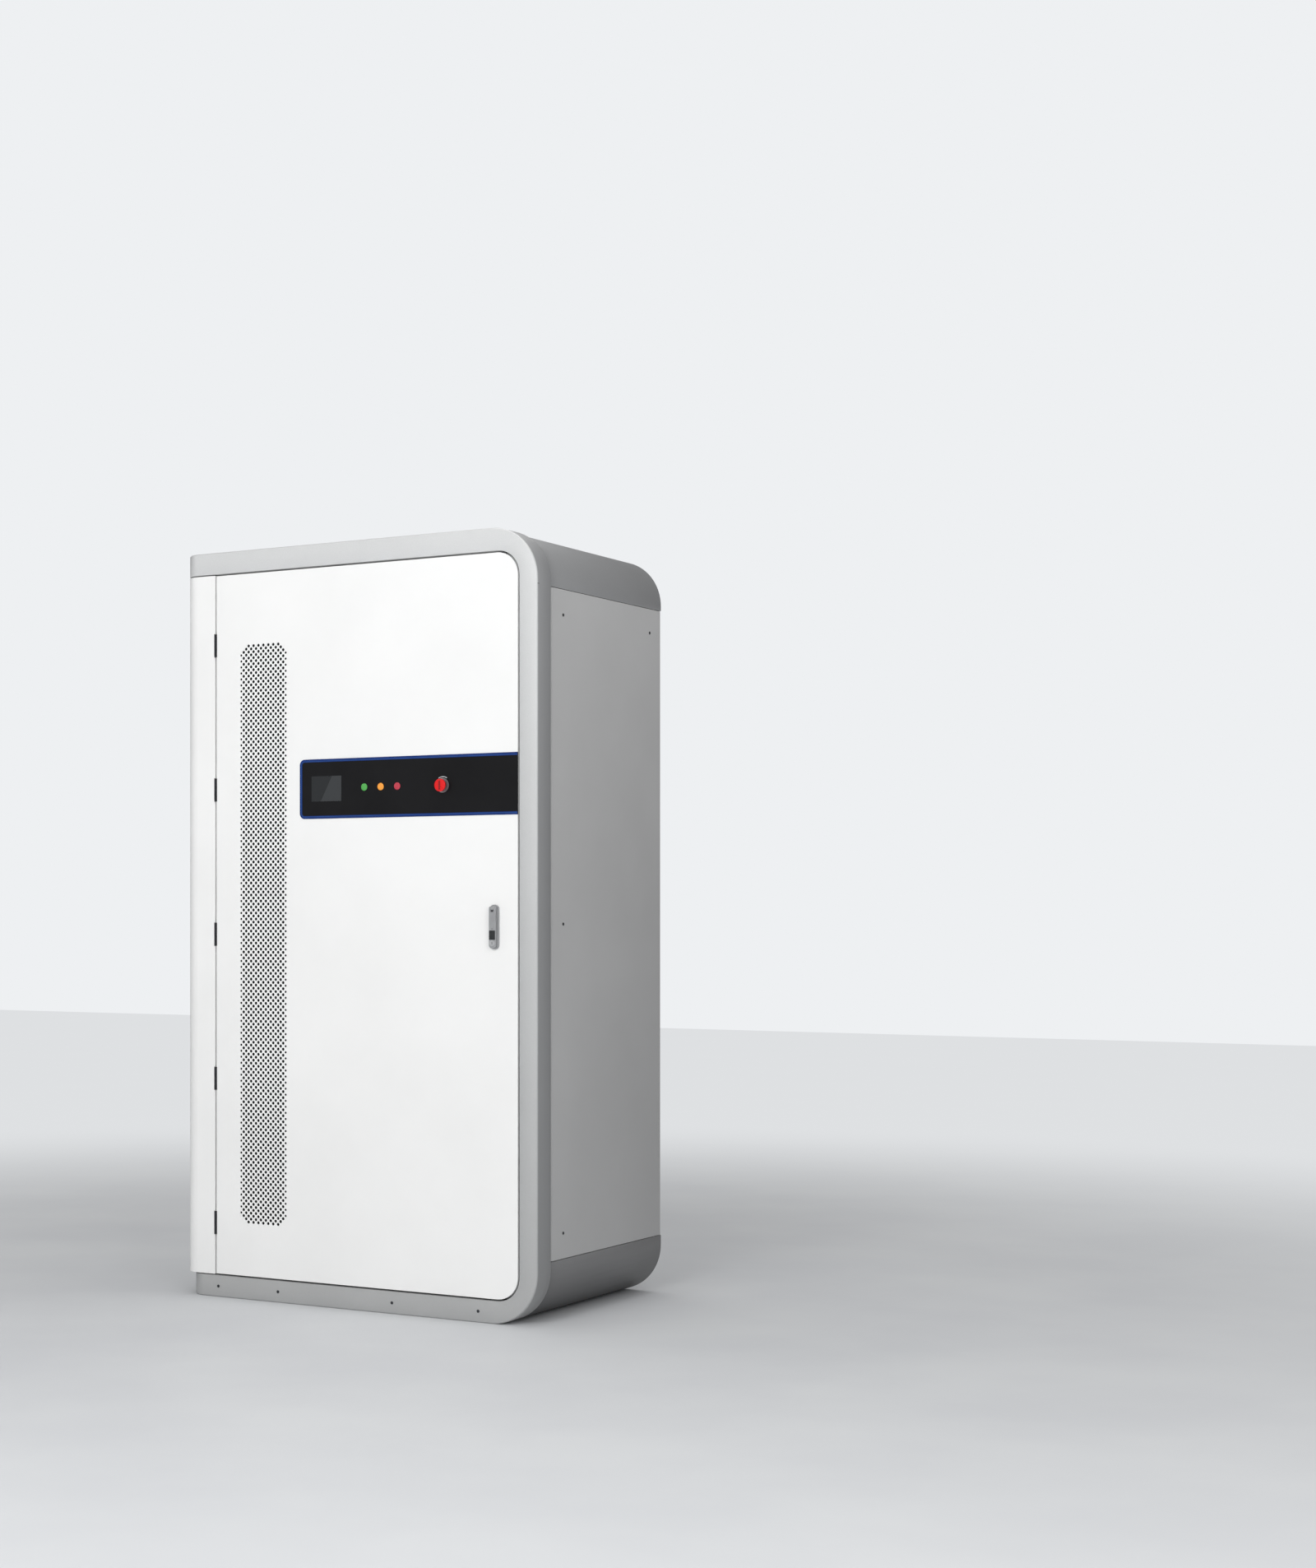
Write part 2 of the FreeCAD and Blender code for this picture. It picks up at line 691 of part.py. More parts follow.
fan_x = f"({left} + rack_left + post_width + pack_gap + {pack_width} / 2)"
tray = body("rear_panel")
tray_z = (floor_top, f"{body_top} - sheet_metal * 2")
tray_y = (f"{rear} - sheet_metal * 2 - rear_panel_flange", f"{rear} - sheet_metal")
tray_x = (f"{left} + sheet_metal * 2", f"{body_right} - sheet_metal * 2")
tray_corner = f"{body_corner} - sheet_metal * 2"
tray_step = f"({body_right} - side_panel_depth - panel_joint / 3)"
pad(tray, "Plate", "XZ", [[
    (tray_x[0], tray_z[1]), (tray_x[1], tray_z[1], tray_corner), (tray_x[1], wrap_high),
    (tray_step, wrap_high), (tray_step, tray_z[0], "skirt_flange"), (tray_x[0], tray_z[0])]], *tray_y)
pocket(tray, "Recess", "XZ", [rect(
    f"{tray_x[0]} + skirt_flange", f"{tray_x[1]} - outer_corner / 2", f"{tray_z[0]} + skirt_flange",
    f"{tray_z[1]} - skirt_flange * 2", "skirt_flange")], f"{tray_y[0]} + sheet_metal", tray_y[1])
pocket(tray, "FanOpening", "XZ", [disc(fan_x, fan_height, "fan_duct")],
       tray_y[0], tray_y[1])
pocket(tray, "Louvres", "XZ", [rect(
    f"{step} * louvre_spacing - louvre_width / 2", f"{step} * louvre_spacing + louvre_width / 2",
    f"louvre_low + {row} * louvre_pitch", f"louvre_low + {row} * louvre_pitch + louvre_slot")
    for step in (-1, 0, 1) for row in range(6)], *tray_y)

# Exhaust fan: a square frame with its motor plate on four arms, a rotor and a slotted guard

fan_half = "fan_frame / 2"
fan_y = (f"({tray_y[0]} - fan_depth)", tray_y[0])
arm_y = (fan_y[0], f"{fan_y[0]} + fan_arm")
fan_ring = without("FanRing", block(
    "FanFrame", (f"{fan_x} - {fan_half}", f"{fan_x} + {fan_half}"), fan_y,
    (f"{fan_height} - {fan_half}", f"{fan_height} + {fan_half}")),
    shaft("FanDuct", "Y", "fan_duct", fan_x, fan_y, fan_height))
arm_end = "(fan_duct + fan_arm / 3)"
motor_half = "(fan_hub * 0.7)"
fan_arms = [
    block("FanArmLevel", (f"{fan_x} - {arm_end}", f"{fan_x} + {arm_end}"), arm_y,
          (f"{fan_height} - fan_arm", f"{fan_height} + fan_arm")),
    block("FanArmUpright", (f"{fan_x} - fan_arm", f"{fan_x} + fan_arm"), arm_y,
          (f"{fan_height} - {arm_end}", f"{fan_height} + {arm_end}")),
    block("FanMotorPlate", (f"{fan_x} - {motor_half}", f"{fan_x} + {motor_half}"), arm_y,
          (f"{fan_height} - {motor_half}", f"{fan_height} + {motor_half}"))]
fan_bore = shaft("FanBore", "Y", "fan_shaft + running_fit", fan_x, arm_y, fan_height)
keep("fan_housing", without("FanHousing", joined("FanArms", [fan_ring] + fan_arms), fan_bore))

rotor = body("fan_rotor")
hub_y = (f"({arm_y[1]} + fan_arm / 3)", f"({fan_y[1]} - fan_arm)")
blade_root = "(fan_hub * 0.92)"
hub = pad(rotor, "Hub", "XZ", [disc("0", "0", "fan_hub")], *hub_y, fan_x, fan_height)
pad(rotor, "Shaft", "XZ", [disc(fan_x, fan_height, "fan_shaft")], arm_y[0], hub_y[0])
blade = rotor.newObject("PartDesign::Pad", "Blade")
blade_section = [rect("-fan_chord / 2", "fan_chord / 2", "-fan_blade / 2", "fan_blade / 2")]
blade.Profile = sketch(rotor, "BladeSection", "XY", blade_section, f"{fan_height} + {blade_root}", fan_x,
                       f"({hub_y[0]} + {hub_y[1]}) / 2", "fan_pitch")
blade.setExpression("Length", bound(f"fan_rotor - {blade_root}"))
blades = rotor.newObject("PartDesign::PolarPattern", "Blades")
blades.Originals = [blade]
blades.Axis = (hub.Profile[0], ["N_Axis"])
blades.Angle = 360
blades.setExpression("Occurrences", bound("fan_blades"))
rotor.Tip = blades

guard_y = (f"{tray_y[0]} + sheet_metal", f"{tray_y[0]} + sheet_metal * 2")
guard_half = f"({fan_half} + guard_border)"
guard = body("fan_guard")
pad(guard, "Plate", "XZ", [rect(
    f"{fan_x} - {guard_half}", f"{fan_x} + {guard_half}", f"{fan_height} - {guard_half}",
    f"{fan_height} + {guard_half}")], *guard_y)
guard_slots = []
for step in range(-3, 4):
    middle = f"({step} * fan_duct / 4)"
    outer_edge = f"({abs(step)} * fan_duct / 4 + guard_slot / 2)"
    reach = f"sqrt(fan_duct * fan_duct - {outer_edge} * {outer_edge})"
    guard_slots.append(rect(f"{fan_x} - {reach}", f"{fan_x} + {reach}", f"{fan_height} + {middle} - guard_slot / 2",
                            f"{fan_height} + {middle} + guard_slot / 2"))
pocket(guard, "Slots", "XZ", guard_slots, *guard_y)

# Rack: six open posts, two roof rails and pairs of shelf angles

rack_front = body_front
rack_rear = tray_y[0]
rack_left = f"({left} + rack_left)"
bay_left = f"({rack_left} + post_width)"
middle_left = f"({bay_left} + {pack_width} + pack_gap * 2)"
bay_right = f"({middle_left} + middle_post)"
right_post = f"({bay_right} + {pack_width} + pack_gap * 2)"
bays = (bay_left, bay_right)
post_front = {rack_left: rack_front, middle_left: f"({front} + pack_front - post_depth)", right_post: rack_front}
post_sides = {rack_left: f"({rack_left} + post_width)", middle_left: bay_right,
              right_post: f"({body_right} - side_panel_depth)"}


def postOutline(low_x, high_x, low_y, high_y, opens_back):
    """A channel section, open towards the front or the back."""
    if opens_back:
        inner = (f"{low_y} + post_wall", high_y)
    else:
        inner = (f"{high_y} - post_wall", low_y)
    web, mouth = (low_y, high_y) if opens_back else (high_y, low_y)
    return [(low_x, web), (high_x, web), (high_x, mouth), (f"{high_x} - post_wall", mouth),
            (f"{high_x} - post_wall", inner[0]), (f"{low_x} + post_wall", inner[0]),
            (f"{low_x} + post_wall", mouth), (low_x, mouth)]


rack_posts = doc.addObject("PartDesign::Body", "RackPosts")
posts = []
for low_x, start in post_front.items():
    high_x = post_sides[low_x]
    posts.append(postOutline(low_x, high_x, start, f"{start} + post_depth", True))
    posts.append(postOutline(low_x, high_x, f"{rack_rear} - post_depth", rack_rear, False))
pad(rack_posts, "Posts", "XY", posts, floor_top, post_height)
pocket(rack_posts, "FootNotches", "XZ", [rect(
    f"{body_right} - skirt_flange - post_wall", f"{body_right}", floor_top, f"{floor_top} + post_notch")],
    rack_front, rack_rear)
rail_x = (f"{left} + sheet_metal", f"{body_right} - skirt_flange - sheet_metal * 2")
roof_rails = [block(f"{name}RoofRail", rail_x, (start, f"{start} + post_depth"), (post_height, inner_top))
              for name, start in (("Front", rack_front), ("Rear", f"({rack_rear} - post_depth)"))]
keep("rack_frame", group("RackFrame", [rack_posts] + roof_rails))

rails = body("pack_rails")
shelves = []
for bay in bays:
    end = f"({bay} + {pack_width} + pack_gap * 2)"
    for shelf in range(5):
        shelf_z = f"(pack_floor + {shelf} * {pack_pitch})"
        low_z = f"{shelf_z} - sheet_metal"
        high_z = f"{shelf_z} + rail_leg"
        shelves.append([(bay, low_z), (f"{bay} + rail_leg", low_z), (f"{bay} + rail_leg", shelf_z),
                        (f"{bay} + pack_gap", shelf_z), (f"{bay} + pack_gap", high_z), (bay, high_z)])
        shelves.append([(end, low_z), (f"{end} - rail_leg", low_z), (f"{end} - rail_leg", shelf_z),
                        (f"{end} - pack_gap", shelf_z), (f"{end} - pack_gap", high_z), (end, high_z)])
rail_start = f"{front} + pack_front - post_depth + post_wall"
pad(rails, "Angles", "XZ", shelves, rail_start, rack_rear)

# Battery packs, four in each bay

pack_y = (f"({front} + pack_front)", f"({rear} - pack_rear_space)")
pack_places = [(f"({bay} + pack_gap)", f"(pack_floor + {shelf} * {pack_pitch})") for bay in bays for shelf in range(4)]
for index, (x, z) in enumerate(pack_places, 1):
    pack = body(f"battery_pack_{index}")
    pad(pack, f"Case{index}", "XZ", [rect(x, f"{x} + {pack_width}", z, f"{z} + {pack_height}")], *pack_y)
    pocket(pack, f"FaceRecess{index}", "XZ", [rect(
        f"{x} + face_border", f"{x} + {pack_width} - face_border", f"{z} + face_border",
        f"{z} + {pack_height} - face_border")], pack_y[0], f"{pack_y[0]} + face_depth")
    middle = f"({x} + {pack_width} / 2)"
    terminal_z = f"({z} + {pack_height} / 2 + terminal_rise)"
    pad(pack, f"Terminals{index}", "XZ", [rect(
        f"{middle} + {side} * terminal_offset - terminal_size / 2",
        f"{middle} + {side} * terminal_offset + terminal_size / 2",
        terminal_z, f"{terminal_z} + terminal_size") for side in (-1, 1)],
        f"{pack_y[0]} - terminal_reach", f"{pack_y[0]} + face_depth")

handles = body("pack_handles")
handle_y = (f"{pack_y[0]} - handle_reach", f"{pack_y[0]} + face_depth")
for bay_number, bay in enumerate(bays):
    for side in (-1, 1):
        x = f"{bay} + pack_gap + {pack_width} / 2 + {side} * handle_offset"
        loops = []
        for shelf in range(4):
            z = f"(pack_floor + {shelf} * {pack_pitch} + {pack_height} / 2)"
            low_z, high_z = f"({z} - handle_length / 2)", f"({z} + handle_length / 2)"
            loops.append([
                (handle_y[1], low_z), (handle_y[0], low_z), (handle_y[0], high_z), (handle_y[1], high_z),
                (handle_y[1], f"{high_z} - handle_bar"), (f"{handle_y[0]} + handle_bar", f"{high_z} - handle_bar"),
                (f"{handle_y[0]} + handle_bar", f"{low_z} + handle_bar"), (handle_y[1], f"{low_z} + handle_bar")])
        pad(handles, f"Loops{bay_number}_{side + 2}", "YZ", loops, f"{x} - handle_width / 2", f"{x} + handle_width / 2")

# Insulated links between the terminals of one pack and the next

links = body("pack_links")
straps = []
for bay in bays:
    for shelf in range(3):
        side = 1 if shelf % 2 == 0 else -1
        x = f"({bay} + pack_gap + {pack_width} / 2 + {side} * terminal_offset)"
        z = f"(pack_floor + {shelf} * {pack_pitch} + {pack_height} / 2 + terminal_rise)"
        straps.append(rect(f"{x} - link_width / 2", f"{x} + link_width / 2", z, f"{z} + {pack_pitch} + terminal_size"))
link_y = f"({pack_y[0]} - terminal_reach)"
pad(links, "Straps", "XZ", straps, f"{link_y} - link_thickness", link_y)

# Power converter and control box, stacked over the left packs

shelf_top = f"(pack_floor + 4 * {pack_pitch})"
stack_top = f"({shelf_top} + converter_height + control_height)"
converter = body("power_converter")
unit_x = (f"({bay_left} + pack_gap)", f"({bay_left} + pack_gap + {pack_width})")
pad(converter, "Case", "XZ", [rect(*unit_x, shelf_top, f"{shelf_top} + converter_height")],
    pack_y[0], f"{pack_y[0]} + converter_depth")
pocket(converter, "FinSlots", "XZ", [rect(
    f"{unit_x[0]} + fin_border", f"{unit_x[1]} - fin_border", f"{shelf_top} + fin_low + {row} * fin_pitch",
    f"{shelf_top} + fin_low + {row} * fin_pitch + fin_slot") for row in range(8)],
    pack_y[0], f"{pack_y[0]} + fin_depth")

control = body("control_box")
box_z = (f"({shelf_top} + converter_height)", stack_top)
pad(control, "Case", "XZ", [rect(*unit_x, *box_z)], pack_y[0], f"{pack_y[0]} + control_depth")
connector_x = f"{unit_x[0]} + {pack_width} / 2 - connector_size / 2"
pad(control, "Connectors", "XZ", [rect(
    f"{connector_x} + {step} * connector_pitch", f"{connector_x} + connector_size + {step} * connector_pitch",
    f"{box_z[0]} + connector_rise", f"{box_z[0]} + connector_rise + connector_size")
    for step in (-2, -1, 0, 1, 2)], f"{pack_y[0]} - connector_reach", pack_y[0])

# Breaker panel, with its breaker and two contactors, over the right packs

plate_y = (f"({pack_y[0]} + panel_setback)", f"({pack_y[0]} + panel_setback + sheet_metal)")
din_z = (f"({shelf_top} + din_low)", f"({shelf_top} + din_low + din_height)")
din_y = f"({plate_y[0]} - din_depth)"
panel = body("breaker_panel")
pad(panel, "Plate", "XZ", [rect(f"{bay_right} + pack_gap", f"{right_post} - pack_gap", shelf_top, stack_top)], *plate_y)
pad(panel, "Rail", "XZ", [rect(f"{bay_right} + rail_leg", f"{right_post} - rail_leg", *din_z)], din_y, plate_y[0])

breaker_x = f"({bay_right} + pack_gap + {pack_width} / 2)"
breaker_z = f"({shelf_top} + converter_height)"
breaker_y = f"({plate_y[0]} - breaker_depth)"
bridge_y = f"({breaker_y} + bridge_depth)"
breaker = body("main_breaker")
breaker_sides = (f"{breaker_x} - breaker_width / 2", f"{breaker_x} + breaker_width / 2")
pad(breaker, "Case", "XZ", [rect(*breaker_sides, f"{breaker_z} - breaker_height / 2", f"{breaker_z} + breaker_height / 2")],
    bridge_y, plate_y[0])
pad(breaker, "Bridge", "XZ", [rect(*breaker_sides, f"{breaker_z} - breaker_height / 4", f"{breaker_z} + breaker_height / 4")],
    breaker_y, bridge_y)
pocket(breaker, "ToggleWell", "XZ", [rect(
    f"{breaker_x} - toggle_width / 2", f"{breaker_x} + toggle_width / 2", f"{breaker_z} - toggle_well / 2",
    f"{breaker_z} + toggle_well / 2")], breaker_y, f"{breaker_y} + toggle_pivot * 2 + toggle_gap")

pivot_y = f"({breaker_y} + toggle_pivot + toggle_gap / 2)"
toggle_half = "(toggle_width / 2 - lever_clearance)"
toggle_pivot = shaft("TogglePivot", "X", "toggle_pivot", (f"{breaker_x} - {toggle_half}", f"{breaker_x} + {toggle_half}"),
                     pivot_y, breaker_z)
toggle_grip = block("ToggleGrip", (f"{breaker_x} - toggle_width / 3", f"{breaker_x} + toggle_width / 3"),
                    (f"{breaker_y} - toggle_reach", pivot_y), (f"{breaker_z} - toggle_grip / 2", f"{breaker_z} + toggle_grip / 2"))
keep("breaker_toggle", joined("BreakerToggle", [toggle_pivot, toggle_grip]))

relays = body("contactors")
relay_z = f"(({din_z[0]} + {din_z[1]}) / 2)"
for name, width, height, low, high in (
        ("Bases", "relay_width", "relay_height", f"{din_y} - relay_base", din_y),
        ("Heads", "relay_width * 0.75", "relay_height * 0.62", f"{din_y} - relay_base - relay_head", f"{din_y} - relay_base")):
    pad(relays, name, "XZ", [rect(
        f"{breaker_x} + {side} * relay_spacing / 2 - {width} / 2", f"{breaker_x} + {side} * relay_spacing / 2 + {width} / 2",
        f"{relay_z} - {height} / 2", f"{relay_z} + {height} / 2") for side in (-1, 1)], low, high)

# Hinges: five lift-off pairs with their barrels rolled from the leaves, in the seam

barrel_x = (f"{hinge_x} - hinge_barrel", f"{hinge_x} + hinge_barrel")
barrel_y = (f"{hinge_y} - hinge_barrel", f"{hinge_y} + hinge_barrel")
roll = "hinge_barrel - 0.1"
clear_y = f"{barrel_y[1]} + hinge_play"
leaf_end = f"{hinge_y} + hinge_leaf_depth"
leaves = {"frame": body("hinge_frame_leaves"), "door": body("hinge_door_leaves")}
leaf_x = {"frame": (column_edge, f"{column_edge} + hinge_leaf"), "door": (f"{door_left} - hinge_leaf", door_left)}
rolled = {
    "frame": [(barrel_x[1], barrel_y[0], roll), (barrel_x[1], barrel_y[1], roll), (leaf_x["frame"][1], barrel_y[1]),
              (leaf_x["frame"][1], leaf_end), (column_edge, leaf_end), (column_edge, hinge_y), (barrel_x[0], hinge_y),
              (barrel_x[0], barrel_y[0], roll)],
    "door": [(door_left, hinge_y), (door_left, leaf_end), (leaf_x["door"][0], leaf_end), (leaf_x["door"][0], barrel_y[1]),
             (barrel_x[0], barrel_y[1], roll), (barrel_x[0], barrel_y[0], roll), (barrel_x[1], barrel_y[0], roll),
             (barrel_x[1], hinge_y)],
}
for index, z in enumerate(hinge_heights, 1):
    spans = {"frame": (f"({z} - hinge_height / 2)", f"({z} - hinge_play / 2)"),
             "door": (f"({z} + hinge_play / 2)", f"({z} + hinge_height / 2)")}
    for side_name, other in (("frame", "door"), ("door", "frame")):
        own = leaves[side_name]
        bore = [disc(hinge_x, hinge_y, "hinge_pin + running_fit")] if side_name == "door" else []
        pad(own, f"Barrel{index}", "XY", [rolled[side_name]] + bore, *spans[side_name])
        pad(own, f"Leaf{index}", "XY", [rect(*leaf_x[side_name], clear_y, leaf_end)], *spans[other])
        if side_name == "frame":
            pad(own, f"Pin{index}", "XY", [disc(hinge_x, hinge_y, "hinge_pin")], spans["frame"][1],
                f"{spans['door'][1]} - hinge_pin")

# Door skin: a folded pan with a return all round, and its cut-outs

skin = body("door_skin")
door_outline = [(door_left, door_low), (door_right, door_low, door_corner), (door_right, door_top, door_corner),
                (door_left, door_top)]
pad(skin, "Pan", "XZ", [door_outline], front, door_back)
dressed(skin, "HingeEdge", "Fillet", "door_edge_break", lambda p, edge: (
    near(p.y, number(front)) and near(p.x, number(door_left))))
pocket(skin, "Inside", "XZ", [[
    (f"{door_left} + sheet_metal", f"{door_low} + sheet_metal"),
    (f"{door_right} - sheet_metal", f"{door_low} + sheet_metal", f"{door_corner} - sheet_metal"),
    (f"{door_right} - sheet_metal", f"{door_top} - sheet_metal", f"{door_corner} - sheet_metal"),
    (f"{door_left} + sheet_metal", f"{door_top} - sheet_metal")]], skin_back, f"{door_back} - sheet_metal")
pocket(skin, "BackOpening", "XZ", [[
    (f"{door_left} + door_return", f"{door_low} + door_return"),
    (f"{door_right} - door_return", f"{door_low} + door_return", f"{door_corner} - door_return"),
    (f"{door_right} - door_return", f"{door_top} - door_return", f"{door_corner} - door_return"),
    (f"{door_left} + door_return", f"{door_top} - door_return")]], f"{door_back} - sheet_metal", door_back)
vent_x = (f"({door_left} + vent_left)", f"({door_left} + vent_left + vent_width)")
vent_z = ("vent_low", f"({top} - vent_drop)")
vent_outline = rect(*vent_x, *vent_z, "vent_corner")
strip_x0 = f"({door_left} + strip_left)"
strip_z = ("strip_low", "(strip_low + strip_height)")
strip_outline = [(strip_x0, strip_z[0], "strip_corner"), (door_right, strip_z[0]), (door_right, strip_z[1]),
                 (strip_x0, strip_z[1], "strip_corner")]
pocket(skin, "CutOuts", "XZ", [vent_outline, strip_outline, disc(lock_x, "lock_height", "hub_radius + 1")],
       front, skin_back)
pocket(skin, "HingeNotches", "XZ", [rect(
    f"{door_left} - 1", f"{hinge_x} + notch_width / 2", f"{z} - ({notch_half})",
    f"{z} + {notch_half}") for z in hinge_heights], f"{front} - 1", notch_back)

# Vent: a flush sheet punched in a staggered 45 degree pattern

def ventSheet():
    """The rounded sheet as one face with a hole wire for each punched hole."""
    low_x, high_x = number(vent_x[0]), number(vent_x[1])
    low_z, high_z = number(vent_z[0]), number(vent_z[1])
    y, radius = number(front), number("vent_corner")
    step, reach = number("vent_pitch") / 2, number("vent_hole")
    edges = []
    for index, (x, z) in enumerate([(low_x, low_z), (high_x, low_z), (high_x, high_z), (low_x, high_z)]):
        centre = V(x + (radius if x == low_x else -radius), y, z + (radius if z == low_z else -radius))
        angles = [math.pi + math.pi / 2 * (index + turn) for turn in (0, 0.5, 1)]
        edges.append(Part.Arc(*[centre + V(math.cos(a), 0, math.sin(a)) * radius for a in angles]))
    sides = [Part.LineSegment(edges[i].EndPoint, edges[(i + 1) % 4].StartPoint) for i in range(4)]
    outer = Part.Wire([edge.toShape() for pair in zip(edges, sides) for edge in pair])
    columns = int((number("vent_width") / 2 - reach - step / 4) / step)
    rows = int(((high_z - low_z) / 2 - reach - step / 4) / step)
    wires = [outer]
    for column in range(-columns, columns + 1):
        for row in range(-rows, rows + 1):
            if (column + row) % 2 or (abs(column) == columns and abs(row) == rows):
                continue
            centre = V((low_x + high_x) / 2 + column * step, y, (low_z + high_z) / 2 + row * step)
            turns = [math.radians(90 * corner) for corner in range(5)]
            wires.append(Part.makePolygon([centre + V(math.cos(a), 0, math.sin(a)) * reach for a in turns]))
    return Part.Face(wires, "Part::FaceMakerBullseye").extrude(V(0, number("sheet_metal"), 0))


vent = keep("vent_grille", doc.addObject("Part::Feature", "VentGrille"))
vent.Shape = ventSheet()

mat = body("filter_mat")
pad(mat, "Mat", "XZ", [rect(
    f"{vent_x[0]} - filter_border", f"{vent_x[1]} + filter_border", f"{vent_z[0]} - filter_border",
    f"{vent_z[1]} + filter_border", "vent_corner")], skin_back, f"{skin_back} + filter_thickness")

# Display strip with its screen, three lamps and the cover behind it

strip_length = f"({door_right} - {strip_x0})"
estop_x = f"({strip_x0} + estop_share * {strip_length})"
strip_y = (f"({skin_back} - strip_thickness)", skin_back)
strip = body("display_strip")
pad(strip, "Strip", "XZ", [strip_outline], *strip_y)
pocket(strip, "StopHole", "XZ", [square(estop_x, "estop_height", "estop_stem + lever_clearance")], *strip_y)

screen = body("screen")
screen_x = f"({strip_x0} + screen_share * {strip_length})"
pad(screen, "Glass", "XZ", [rect(screen_x, f"{screen_x} + screen_width", "screen_low", "screen_low + screen_height")],
    f"{strip_y[0]} - 0.6", strip_y[0])

for index, colour in enumerate(("green", "amber", "red")):
    lamp = body(f"lamp_{colour}")
    pad(lamp, f"Lens_{colour}", "XZ", [disc(
        f"({strip_x0} + (lamp_share + {index} * lamp_share_pitch) * {strip_length})", "lamp_height", "lamp_radius")],
        f"{strip_y[0]} - lamp_depth", strip_y[0])

housing = body("display_housing")
housing_x = (f"({strip_x0} + housing_border)", f"({estop_x} + housing_past_stop)")
housing_z = (f"({strip_z[0]} - housing_border)", f"({strip_z[1]} + housing_border)")
pad(housing, "Cover", "XZ", [rect(*housing_x, *housing_z)], skin_back, f"{skin_back} + housing_depth")
pocket(housing, "Hollow", "XZ", [rect(
    f"{housing_x[0]} + sheet_metal", f"{housing_x[1]} - sheet_metal", f"{housing_z[0]} + sheet_metal",
    f"{housing_z[1]} - sheet_metal")], skin_back, f"{skin_back} + housing_depth - sheet_metal")

# Emergency stop: collar, square stem that slides in it, and a mushroom head that twists on the stem

collar = body("estop_collar")
collar_y = (f"({strip_y[0]} - estop_collar_depth)", strip_y[0])
pad(collar, "Ring", "XZ", [disc(estop_x, "estop_height", "estop_collar_radius"),
                           square(estop_x, "estop_height", "estop_stem + running_fit")], *collar_y)
head_y = (f"({collar_y[0]} - estop_travel - 1 - estop_head_depth)", f"({collar_y[0]} - estop_travel - 1)")
stop_y = (f"({skin_back} + gasket_gap)", f"({skin_back} + gasket_gap + frame_wall)")
stem = body("estop_stem")
pad(stem, "Stem", "XZ", [square(estop_x, "estop_height", "estop_stem")], head_y[1], stop_y[0])
pad(stem, "Stop", "XZ", [square(estop_x, "estop_height", "estop_stem + frame_wall")], *stop_y)
mushroom = body("estop_head")
pad(mushroom, "Mushroom", "XZ", [disc(estop_x, "estop_height", "estop_head_radius")], *head_y)

# Door stiffeners and gasket

stiff = body("door_stiffeners")
stiff_y = (skin_back, f"{door_back} - sheet_metal")
stiff_z = (f"{door_low} + door_return", f"{door_top} - door_return")
channels = []
for beside in (f"{vent_x[1]} + filter_border", housing_x[1]):
    low_x = f"({beside} + stiffener_gap)"
    high_x = f"({low_x} + stiffener_width)"
    channels.append([
        (low_x, stiff_y[0]), (f"{low_x} + sheet_metal", stiff_y[0]), (f"{low_x} + sheet_metal", f"{stiff_y[1]} - sheet_metal"),
        (f"{high_x} - sheet_metal", f"{stiff_y[1]} - sheet_metal"), (f"{high_x} - sheet_metal", stiff_y[0]),
        (high_x, stiff_y[0]), (high_x, stiff_y[1]), (low_x, stiff_y[1])])
pad(stiff, "Channels", "XY", channels, *stiff_z)

gasket = body("door_gasket")
seat = "((door_return - gasket_width) / 2)"
gasket_loops = []
for inset in (seat, f"({seat} + gasket_width)"):
    gasket_loops.append([
        (f"{door_left} + {inset}", f"{door_low} + {inset}"),
        (f"{door_right} - {inset}", f"{door_low} + {inset}", f"{door_corner} - {inset}"),
        (f"{door_right} - {inset}", f"{door_top} - {inset}", f"{door_corner} - {inset}"),
        (f"{door_left} + {inset}", f"{door_top} - {inset}")])
pad(gasket, "Seal", "XZ", gasket_loops, door_back, f"{lip_front} - gasket_gap")

# Lock: plate, hub with pinion, lever on its cross pin, push button and key barrel

plate_front = f"({front} - handle_plate_thickness)"
lever_back = f"({plate_front} - lever_clearance)"
lever_front = f"({lever_back} - lever_thickness)"
pin_y = f"({lever_back} - lever_thickness / 2)"
lever_low = "(lock_height - lever_length)"
half_lever = "lever_width / 2"
plate = body("handle_base")
pad(plate, "Plate", "XZ", [rect(
    f"{lock_x} - handle_plate_width / 2", f"{lock_x} + handle_plate_width / 2", "handle_plate_low",
    "handle_plate_high", "handle_plate_width / 2 - 0.5")], plate_front, front)
pocket(plate, "HubHole", "XZ", [disc(lock_x, "lock_height", "hub_radius + running_fit")], plate_front, front)

rod_front = f"({front} + rod_setback - rod_thickness)"
rod_y = (f"({rod_front})", f"({rod_front} + rod_thickness)")
gear_y = (f"({rod_y[0]} + rod_thickness / 2 - gear_width / 2)", f"({rod_y[0]} + rod_thickness / 2 + gear_width / 2)")
case_back = f"({gear_y[1]} + lock_case_wall)"


def involute(base_radius, radius, turn):
    """The point of an involute at a radius, turned about the centre."""
    roll = math.sqrt(max((radius / base_radius) ** 2 - 1, 0))
    angle = roll - math.atan(roll) + turn
    return radius * math.cos(angle), radius * math.sin(angle)


